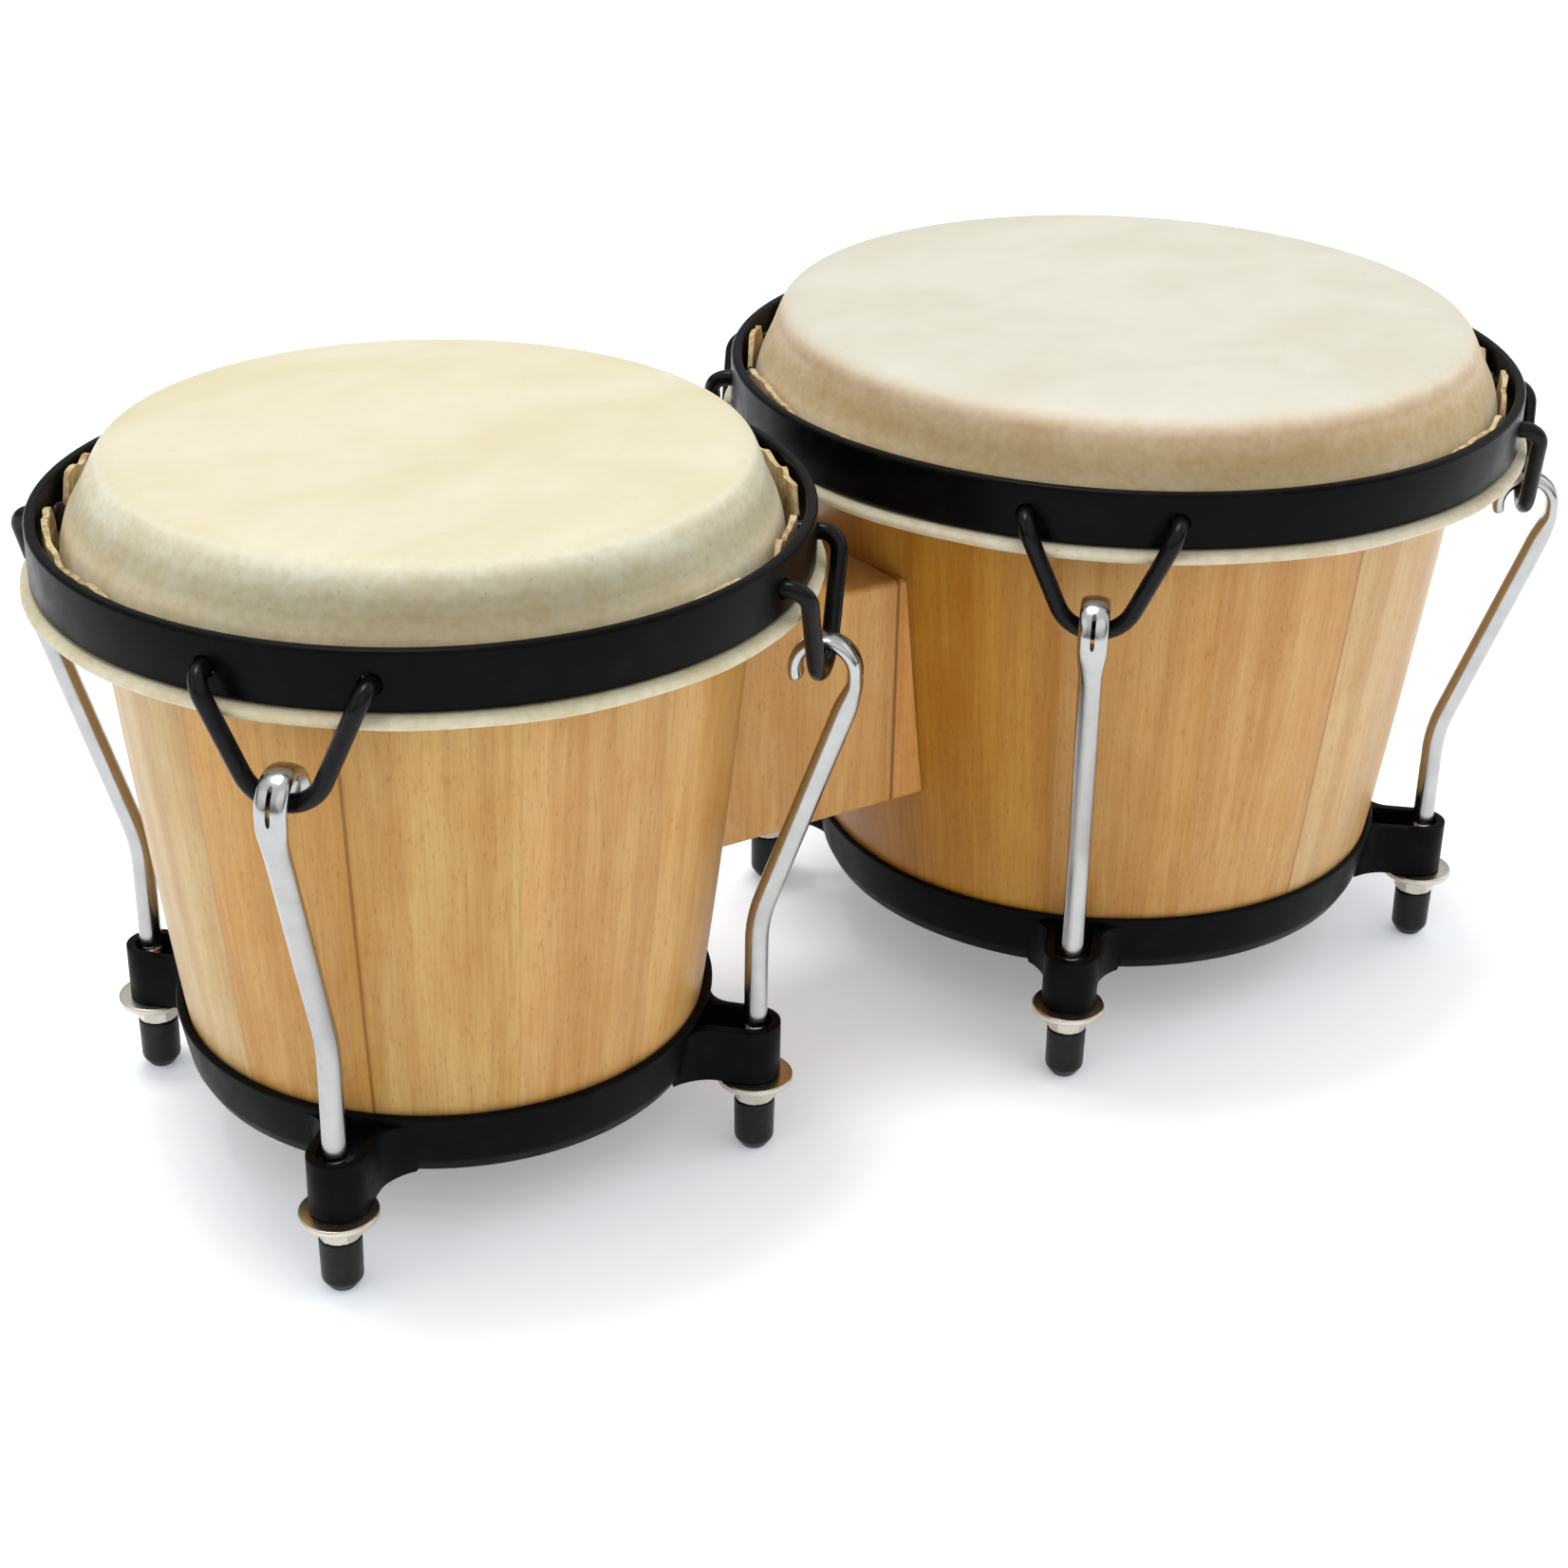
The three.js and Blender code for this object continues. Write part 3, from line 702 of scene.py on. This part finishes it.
def thicken(path, thickness):
    """The lines half a thickness to the right and left of a path, with one thickness for each point."""
    path = np.array(path, float)
    along = np.gradient(path, axis=0)
    along /= np.linalg.norm(along, axis=1)[:, None]
    normal = np.stack([along[:, 1], -along[:, 0]], axis=1)
    half = np.array(thickness)[:, None] / 2
    return path + normal * half, path - normal * half


# The shell's bearing edge under the skin: (in from the head's face, down from its top), going inward.
BEARING_EDGE = [(6.0, 7.5), (7.6, 5.0), (9.4, 3.2), (11.6, 1.9), (13.2, 1.4), (14.4, 1.7), (14.9, 3.0)]


def make_shell(drum):
    name, foot, chamfer = f"{drum.name}_stave_shell", drum.shell_bottom, 0.8
    side = [(drum.shell_radius(z), z) for z in np.linspace(foot, 170, 16)]
    edge_z = foot + chamfer
    side[:1] = [(drum.shell_radius(foot) - chamfer, foot), (drum.shell_radius(edge_z), edge_z)]
    top, head = drum.head_top - 2.0, drum.head - 1.0
    edge = [(head - inward, top - down) for inward, down in BEARING_EDGE]
    bore = [(drum.shell_radius(182) - SHELL_WALL, 178), (drum.shell_radius(SHELL_FOOT) - SHELL_WALL, foot)]
    obj = link(name, lathe(name, [*side, *edge, *bore]), (drum.x, 0, 0))
    toward = Matrix.Rotation((1 if drum is small else -1) * math.pi / 2, 4, "Y")
    cut(obj, [drill("bolt_hole", 3.3, 30, 130, Matrix.Translation((drum.x * MM, 0, z * MM)) @ toward)
              for z in (85, 118)])
    mount(obj, WOOD[drum.name], "drum_wood", "root", f"{drum.name}_shell")


# The head's outline: (out from its radius, down from its top).
CROWN = [
    (-60, 0), (-40, 0), (-24, 0), (-17, 0.05), (-13, 0.35), (-10, 0.9), (-7.8, 1.7), (-6.2, 2.9),
    (-5.1, 4.7), (-4.1, 7.2), (-3.0, 10.2), (-1.6, 13.4), (-0.1, 17.0), (1.1, 21.0), (1.9, 25.5), (2.2, 28.0),
]
OUTER_LEAN = 2.4  # how far the crown stands in on the side away from the other drum
CROWN_GROWTH = {"small": -0.4, "large": 0.6}  # how far the skin's face stands outside that outline


def make_head(drum):
    """One sheet of skin: over the shell, down its side, out under the flesh hoop and back over it."""
    wall = [(drum.head + r, drum.head_top - z) for r, z in CROWN]
    outside = curve_through(wall, 3)
    face, _ = thicken(outside, [SKIN_THICK - 2 * CROWN_GROWTH[drum.name]] * len(outside))
    centre_r, centre_z = drum.collar - 3.6, (drum.collar_bottom + drum.collar_top) / 2
    turn_out = [(drum.head + 1.9, 158.6), (drum.head + 2.9, 156.8), (drum.head + 4.8, 155.95)]
    roll = [(centre_r + 3.12 * math.cos(a), centre_z + 1.3 * math.sin(a))
            for a in np.radians([-92, -50, -20, 10, 45, 85, 120, 150])]
    path = [*face[:-1], *curve_through([face[-1], *turn_out, *roll], 4)]
    path[0] = np.array((0.0, path[0][1]))
    lower, upper = thicken(path, np.interp([p[1] for p in path], [160, 168], [0.92, SKIN_THICK]))
    # The two faces cross inside the first ring of points, half way to the axis.
    lower[0] = (0, path[0][1] + SKIN_THICK / 2)
    upper[0] = (0, path[0][1] - SKIN_THICK / 2)
    mesh = lathe_capped(f"{drum.name}_skin", [*upper, *lower[::-1]], 240, 50)
    slow, quick = ripple(11 + len(drum.name), 3, 17, 7), ripple(23, 20, 60, 9)
    outward = -1 if drum is small else 1
    for vertex in mesh.vertices:
        x, y, z = (c / MM for c in vertex.co)
        r, angle = math.hypot(x, y), math.atan2(y, x)
        if r < 1:
            continue
        low = float(np.clip((163 - z) / 5, 0, 1))
        away = max(0.0, outward * math.cos(angle)) ** 2
        high = float(np.clip((drum.head_top - z - 16) / -12, 0, 1))
        pull = low * (0.16 * slow(angle) + 0.10 * quick(angle)) - OUTER_LEAN * away * high * r / drum.head
        vertex.co = Vector((x * (1 + pull / r), y * (1 + pull / r), z + low * 0.16 * slow(angle + 1))) * MM
    obj = link(f"{drum.name}_skin", mesh, (drum.x, 0, 0))
    dress(obj, SKIN[drum.name])
    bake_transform(obj)
    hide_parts(f"{drum.name}_head", f"{drum.name}_tucked_skin")


CUT_LOWEST = math.radians(237)  # the skin was trimmed lowest on this side and the opposite one


def make_cut_edge(drum):
    """The trimmed edge of the skin, standing ragged between the head's wall and the rim."""
    inside, foot = drum.rim - RIM_WALL, 158.75
    high, rough = ripple(31, 5, 22, 8), ripple(47, 28, 88, 14)
    lean, crinkle = ripple(59, 4, 18, 6), ripple(71, 30, 80, 12)
    rows = 9

    def shape(angle, row):
        up = row / (rows - 1) if row < rows else (2 * rows - 1 - row) / (rows - 1)
        beside = 0.5 - 0.5 * math.cos(2 * (angle - CUT_LOWEST))
        top = 170.1 + 2.8 * beside + (0.7 + 0.7 * beside) * high(angle) + (0.5 + 0.6 * beside) * rough(angle)
        for lug, _ in drum.lugs:
            for side in (-1, 1):
                hole = lug + side * math.asin(19 / (drum.rim - 5))
                gap = abs((angle - hole + math.pi) % math.tau - math.pi) * drum.rim
                top = min(top, 161.0 + max(0.0, gap - 3.6) * 1.6)
        z = foot + (top - foot) * up
        half = 0.45 + 0.25 * up * (1 + rough(angle + 0.7))
        middle = inside - 1.75 - 0.5 * up + up * (0.5 * lean(angle) + 0.35 * crinkle(angle + up * 0.05))
        middle = min(middle, inside - half - 0.12)
        return middle + (half if row < rows else -half), z

    name = f"{drum.name}_cut_edge"
    obj = link(name, lathe(name, [(0, 0)] * (2 * rows), 360, 60, wave=shape), (drum.x, 0, 0))
    mount(obj, CUT_SKIN, "rawhide", f"{drum.name}_tension")


def make_rim(drum):
    name, inner, outer = f"{drum.name}_rim_band", drum.rim - RIM_WALL, drum.rim
    bottom, top = drum.rim_bottom, drum.rim_top
    corners = [(inner, bottom), (outer, bottom), (outer, top), (inner, top)]
    outline = fillet(corners, [0.7, 1.1, 1.1, 0.8], 5, closed=True)
    obj = link(name, lathe(name, outline, 240, 50), (drum.x, 0, 0))
    middle, outward = Matrix.Translation((drum.x * MM, 0, 0)), Matrix.Rotation(math.pi / 2, 4, "Y")
    tools = []
    for angle, _ in drum.lugs:
        for side in (-1, 1):
            hole = Matrix.Translation((0, side * HOLE_SPREAD * MM, HOLE_HEIGHT * MM))
            turned = middle @ Matrix.Rotation(angle, 4, "Z") @ hole @ outward
            tools.append(drill("hook_hole", 2.7, outer - 14, outer + 6, turned))
    cut(obj, tools)
    mount(obj, RIM_STEEL, "black_steel", f"{drum.name}_tension", f"{drum.name}_rim")


EAR_HALF_WIDTH, EAR_WALL, EAR_FILLET = 7.4, 2.4, 6.5
EAR_BOTTOM, EAR_TOP = 22.65, 37.6
EAR_TAPER = 3.8  # how far the flares' feet lean in with the ring
EAR_SINK = 0.3  # how deep inside the ring the flares start


def make_foot_band(drum):
    name, outer, lip = f"{drum.name}_foot_ring", drum.ring_top_radius, drum.cone[0] - 4.5
    bottom, top = drum.ring_bottom, drum.ring_top
    outline = fillet(
        [(outer - 4.7, bottom), (outer - 2.6, 26.4), (outer, top), (drum.shell_radius(top) + FIT, top),
         (drum.shell_radius(RING_LEDGE) + FIT, RING_LEDGE), (lip, RING_LEDGE), (lip, bottom)],
        [1.6, 4.0, 0.7, 0.5, 0.6, 0.6, 0.5], 5, closed=True)
    band = link(name, lathe(name, outline, 192, 50), (drum.x, 0, 0))
    mount(band, RING_STEEL, "black_steel", "root", f"{drum.name}_bottom_ring")


def make_ears(drum):
    """A strap bent round each rod, its ends flaring into the ring, cut to the shell's cone behind."""
    outer, foot = drum.ring_top_radius, EAR_HALF_WIDTH + EAR_FILLET
    centre, root = drum.rod + 6.5 - EAR_HALF_WIDTH, outer - 6.0
    face = math.sqrt(outer * outer - foot * foot) - EAR_SINK
    flare = [np.array((face + EAR_FILLET * (1 - math.cos(a)), EAR_FILLET * math.sin(a) - foot))
             for a in np.radians(np.linspace(0, 90, 10))]

    def strap(first, width):
        nose = [np.array((centre + width * math.cos(a), width * math.sin(a)))
                for a in np.radians(np.linspace(-90, 90, 17))]
        return [*first, *nose, *[np.array((x, -y)) for x, y in first[::-1]]]

    outside = strap([np.array((root, -foot)), *flare], EAR_HALF_WIDTH)
    inside = strap([np.array((root, EAR_WALL - EAR_HALF_WIDTH))], EAR_HALF_WIDTH - EAR_WALL)
    ear = prism(f"{drum.name}_ear", [*outside, *inside[::-1]], EAR_BOTTOM, EAR_TOP, 50)
    for vertex in ear.vertices:
        x, y, z = vertex.co / MM
        flared = max(0.0, abs(y) - EAR_HALF_WIDTH) / EAR_FILLET
        vertex.co.x = (x - EAR_TAPER * flared * (EAR_TOP - z) / (EAR_TOP - EAR_BOTTOM)) * MM
    low, high = drum.shell_radius(RING_LEDGE) + 1.0, drum.shell_radius(44) + 1.0
    cone = [(0, 10), (low, 10), (low, RING_LEDGE), (high, 44), (0, 44)]
    for i, (angle, _) in zip(LUGS, drum.lugs):
        obj = link(f"{drum.name}_ear_{i}", ear, (drum.x, 0, 0), angle)
        if i == 1:
            cut(obj, [link("hollow", lathe_capped("hollow", cone, 192), (drum.x, 0, 0))])
            ear = bevel(obj, 0.5, 2, 40, 50)
        mount(obj, RING_STEEL, "black_steel", "root")


def make_v_hooks(drum):
    """Bent rods over the rim, each with both ends through it and headed against its inside."""
    head_edge = 22.3  # the far side of a rod's head from the middle of the V
    stub = math.sqrt((drum.rim - RIM_WALL) ** 2 - head_edge**2) - 1.2
    arm_y, arm_z, arm_lean = 11.2, 148.42, math.radians(24.4)  # a point on the V's arm, and its angle
    apex = arm_z - arm_y / math.tan(arm_lean)
    corner_y = 19.1
    head_steps, head_radii = [0, 0.12, 0.4, 0.9, 1.4, 1.55, 1.6], [2.3, 2.9, 3.3, 3.5, 3.45, 3.1, 2.2]
    start = [(stub - head_steps[-1] + d, HOLE_SPREAD, HOLE_HEIGHT) for d in head_steps]
    bends = fillet(
        [(stub + 0.05, HOLE_SPREAD, HOLE_HEIGHT), (drum.hook, corner_y, HOLE_HEIGHT), (drum.hook, 0, apex),
         (drum.hook, -corner_y, HOLE_HEIGHT), (stub + 0.05, -HOLE_SPREAD, HOLE_HEIGHT)],
        [0, 4.8, 12.3, 4.8, 0], 14)
    end = [(x, -y, z) for x, y, z in start[::-1]]
    path = [*start, *spaced(bends, 1.4), *end]

    def section(along, total):
        radius = np.interp(min(along, total - along), head_steps, head_radii)
        return superellipse(radius, radius, 2, 20)

    mesh = sweep_mesh(f"{drum.name}_v_hook", path, section, (0, 0, 1), 60)
    for i, (angle, _) in zip(LUGS, drum.lugs):
        obj = link(f"{drum.name}_v_hook_rod_{i}", mesh, (drum.x, 0, 0), angle)
        mount(obj, HOOK_STEEL, "black_steel", f"{drum.name}_tension", f"{drum.name}_v_hook_{i}")


def make_rods(drum):
    outer, curl_z, curl_r = drum.hook + 8, 138.6, 7.3
    slope = 21 / 60.9
    knee = curl_z - 3.55 - (outer - drum.rod) / slope
    corners = [(drum.rod, 2.9), (drum.rod, knee), (outer, curl_z - 3.55), (outer, curl_z)]
    lower = fillet(corners, [0, 40, 21, 0], 12)
    curl = [(outer - curl_r + curl_r * math.cos(a), curl_z + curl_r * math.sin(a))
            for a in np.radians(np.arange(5, 196, 5))]
    tip_a, rounding = math.radians(195), 1.25
    path = spaced([np.array((x, 0, z)) for x, z in [*lower, *curl]], 2.0)
    heading = np.array((-math.sin(tip_a), 0, math.cos(tip_a)))
    path += [path[-1] + heading * d for d in (0.5, 0.9, 1.15, rounding)]

    def section(along, total):
        left = total - along
        flat = float(np.clip((37 - left) / 10, 0, 1))
        flat = flat * flat * (3 - 2 * flat)
        end = math.sqrt(max(0.0, 1 - (1 - min(left / rounding, 1)) ** 2)) * 0.6 + 0.4
        foot = float(np.interp(along, [0, 0.6], [0.8, 1]))
        half_x = (3 + 0.7 * flat) * (end if left < rounding else 1) * foot
        half_y = (3 - 1.2 * flat) * (end if left < rounding else 1) * foot
        return superellipse(half_x, half_y, 2 + 0.4 * flat, 28)

    rod = sweep_mesh(f"{drum.name}_hooked_rod", path, section, (0, 1, 0), 60)
    obj = link(f"{drum.name}_hooked_rod_1", rod, (drum.x, 0, 0), drum.lugs[0][0])
    slot_path = [np.array((outer - curl_r + curl_r * math.cos(a), 0, curl_z + curl_r * math.sin(a)))
                 for a in np.radians(np.linspace(-10, 52, 16))]

    def slot_section(along, total):
        taper = math.sqrt(max(0.05, 1 - (abs(2 * along / total - 1)) ** 8))
        return [(x * 0.55 * taper, y * 3.2) for x, y in ((-1, -1), (1, -1), (1, 1), (-1, 1))]

    slot = sweep_mesh("slot", slot_path, slot_section, (0, 1, 0))
    mesh = cut(obj, [link("slot", slot, (drum.x, 0, 0), drum.lugs[0][0])], 60)
    for i, (angle, _) in zip(LUGS, drum.lugs):
        if i > 1:
            obj = link(f"{drum.name}_hooked_rod_{i}", mesh, (drum.x, 0, 0), angle)
        mount(obj, CHROME[drum.name], "chrome", f"{drum.name}_tension", f"{drum.name}_tension_rod_{i}")


def make_feet(drum):
    low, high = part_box(f"{drum.name}_washer_1")
    bottom, top = low.z / MM, high.z / MM
    disc = lathe(f"{drum.name}_washer_disc", fillet(
        [(3.3, bottom), (9.9, bottom), (9.9, top), (3.3, top)], [0.2, 0.5, 0.6, 0.2], 4, closed=True), 64, 50)
    low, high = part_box(f"{drum.name}_nut_1")
    bottom, top = low.z / MM, high.z / MM
    levels = [bottom, bottom + 0.35, bottom + 0.8, top - 0.8, top - 0.35, top]
    limits = [5.05, 5.5, 9, 9, 5.5, 5.05]

    def hexagon(angle, row):
        if row >= len(levels):
            return 3.2, (top, bottom)[row - len(levels)]
        flat = 5.0 / math.cos((angle + math.pi / 6) % (math.pi / 3) - math.pi / 6)
        return min(flat, limits[row]), levels[row]

    nut = lathe(f"{drum.name}_hex_nut", [(0, 0)] * (len(levels) + 2), 96, 25, wave=hexagon)
    low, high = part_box(f"{drum.name}_foot_cap_1")
    bottom, top = low.z / MM, high.z / MM
    outline = [np.array(p, float) for p in (
        (0, bottom), (3.0, bottom), (5.15, bottom + 3.0), (5.3, top), (3.2, top), (3.2, 2.6), (0, 2.6))]
    cap = lathe_capped(f"{drum.name}_rubber_cap", fillet(outline, [0, 1.6, 2.4, 0.7, 0.3, 0, 0], 7), 48, 50)
    for i, (angle, reach) in zip(LUGS, drum.lugs):
        at = (drum.x + reach * math.cos(angle), reach * math.sin(angle), 0)
        obj = link(f"{drum.name}_washer_disc_{i}", disc, at, angle)
        mount(obj, ZINC, "bare_steel", "root", f"{drum.name}_washer_{i}")
        obj = link(f"{drum.name}_hex_nut_{i}", nut, at, angle + i * 0.4)
        mount(obj, ZINC, "bare_steel", f"{drum.name}_nut_{i}", f"{drum.name}_nut_{i}")
        obj = link(f"{drum.name}_rubber_cap_{i}", cap, at, angle)
        mount(obj, RUBBER, "black_rubber", f"{drum.name}_tension", f"{drum.name}_foot_cap_{i}")


def make_block():
    """The block between the shells: rounded long edges, and both ends hollowed to the shells' curve."""
    low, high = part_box("centre_block")
    half, bottom, top = high.y / MM, low.z / MM, high.z / MM
    centre_z = (bottom + top) / 2
    corners = [(-half, bottom), (half, bottom), (half, top), (-half, top)]
    outline = spaced([*fillet(corners, 1.6, 4, closed=True)], 3.0)
    outline = spaced([*outline, outline[0]], 3.0)[:-1]

    def ends(y, z):
        a, b = small.shell_radius(z) + FIT, large.shell_radius(z) + FIT
        return small.x + math.sqrt(a * a - y * y), large.x - math.sqrt(b * b - y * y)

    points, faces = [], []
    count = len(outline)

    def add_ring(scale, side):
        """Adds the outline at a scale to one end's face, and gives its first point's number."""
        for y, z in outline:
            py, pz = y * scale, centre_z + (z - centre_z) * scale
            points.append((ends(py, pz)[side], py, pz))
        return len(points) - count

    def join(a, b):
        return [(a + k, a + (k + 1) % count, b + (k + 1) % count, b + k) for k in range(count)]

    rims = []
    for side in (0, 1):
        rings = [add_ring(scale, side) for scale in (1.0, 0.985, 0.94, 0.8, 0.6, 0.4, 0.2)]
        rims.append(rings[0])
        points.append((ends(0, centre_z)[side], 0, centre_z))
        for a, b in zip(rings, rings[1:]):
            faces += join(a, b)
        faces += [(rings[-1] + k, rings[-1] + (k + 1) % count, len(points) - 1) for k in range(count)]
    left, right = rims
    previous, steps = left, 12
    for step in range(1, steps):
        current = len(points)
        for k in range(count):
            a, b = np.array(points[left + k]), np.array(points[right + k])
            points.append(tuple(a + (b - a) * step / steps))
        faces += join(previous, current)
        previous = current
    faces += join(previous, right)
    obj = link("joining_block", build("joining_block", points, faces, 40))
    mount(obj, BLOCK_WOOD, "block_wood", "root", "centre_block")


for drum in (small, large):
    make_shell(drum)
    make_head(drum)
    make_cut_edge(drum)
    make_rim(drum)
    make_foot_band(drum)
    make_ears(drum)
    make_v_hooks(drum)
    make_rods(drum)
    make_feet(drum)
make_block()

# The remaining CAD nodes keep their shape: the hoops in the skin, and the fixings inside the shells.
for node in frame["nodes"].values():
    if not node.hide_render:
        for slot in node.material_slots:
            slot.link, slot.material = "OBJECT", ZINC


# ---------------------------------------------------------------------------------------------
# Floor and light
# ---------------------------------------------------------------------------------------------
def make_surroundings():
    """A white backdrop behind the part, and a dimmer room with a bright ceiling to light it."""
    world = bpy.data.worlds.new("studio")
    bpy.context.scene.world = world
    world.use_nodes = True
    nodes, links = world.node_tree.nodes, world.node_tree.links
    room, output = nodes["Background"], nodes["World Output"]
    backdrop = nodes.new("ShaderNodeBackground")
    backdrop.inputs["Color"].default_value = (1, 1, 1, 1)
    parts = nodes.new("ShaderNodeSeparateXYZ")
    links.new(nodes.new("ShaderNodeTexCoord").outputs["Generated"], parts.inputs[0])
    height = nodes.new("ShaderNodeValToRGB")
    height.color_ramp.interpolation = "EASE"
    for place, level in ((0.05, 0.22), (0.30, 0.38), (0.52, 0.80), (0.85, 1.0)):
        element = height.color_ramp.elements.new(place)
        element.color = (level * 0.955, level * 0.98, level, 1)
    height.color_ramp.elements.remove(height.color_ramp.elements[0])
    height.color_ramp.elements.remove(height.color_ramp.elements[-1])
    links.new(parts.outputs[2], height.inputs[0])
    links.new(height.outputs[0], room.inputs["Color"])
    switch = nodes.new("ShaderNodeMixShader")
    links.new(nodes.new("ShaderNodeLightPath").outputs["Is Camera Ray"], switch.inputs[0])
    links.new(room.outputs[0], switch.inputs[1])
    links.new(backdrop.outputs[0], switch.inputs[2])
    links.new(switch.outputs[0], output.inputs["Surface"])


def make_stage():
    size = 8000
    points = [(-size, -size, 0), (size, -size, 0), (size, size, 0), (-size, size, 0)]
    obj = link("floor", build("floor", points, [(0, 1, 2, 3)]))
    obj.data.materials.append(floor_paper())
    for name, direction, strength, spread, colour in (
        ("key", (-0.06, 0.17, 0.97), 1.42, 20, (1.0, 0.985, 0.965)),
        ("front", (-0.15, -0.85, 0.50), 0.38, 60, (1.0, 0.99, 0.97)),
        ("left", (-0.90, 0.05, 0.42), 0.30, 50, (1.0, 0.99, 0.97)),
        ("right", (0.90, -0.15, 0.42), 0.46, 50, (1.0, 0.99, 0.97)),
    ):
        data = bpy.data.lights.new(name, "SUN")
        data.energy, data.angle, data.color = strength, math.radians(spread), colour
        light = bpy.data.objects.new(name, data)
        light.rotation_mode = "QUATERNION"
        light.rotation_quaternion = Vector(direction).to_track_quat("Z", "Y")
        bpy.context.scene.collection.objects.link(light)
    make_surroundings()
    view = bpy.context.scene.view_settings
    view.view_transform, view.look = "Standard", "None"


make_stage()
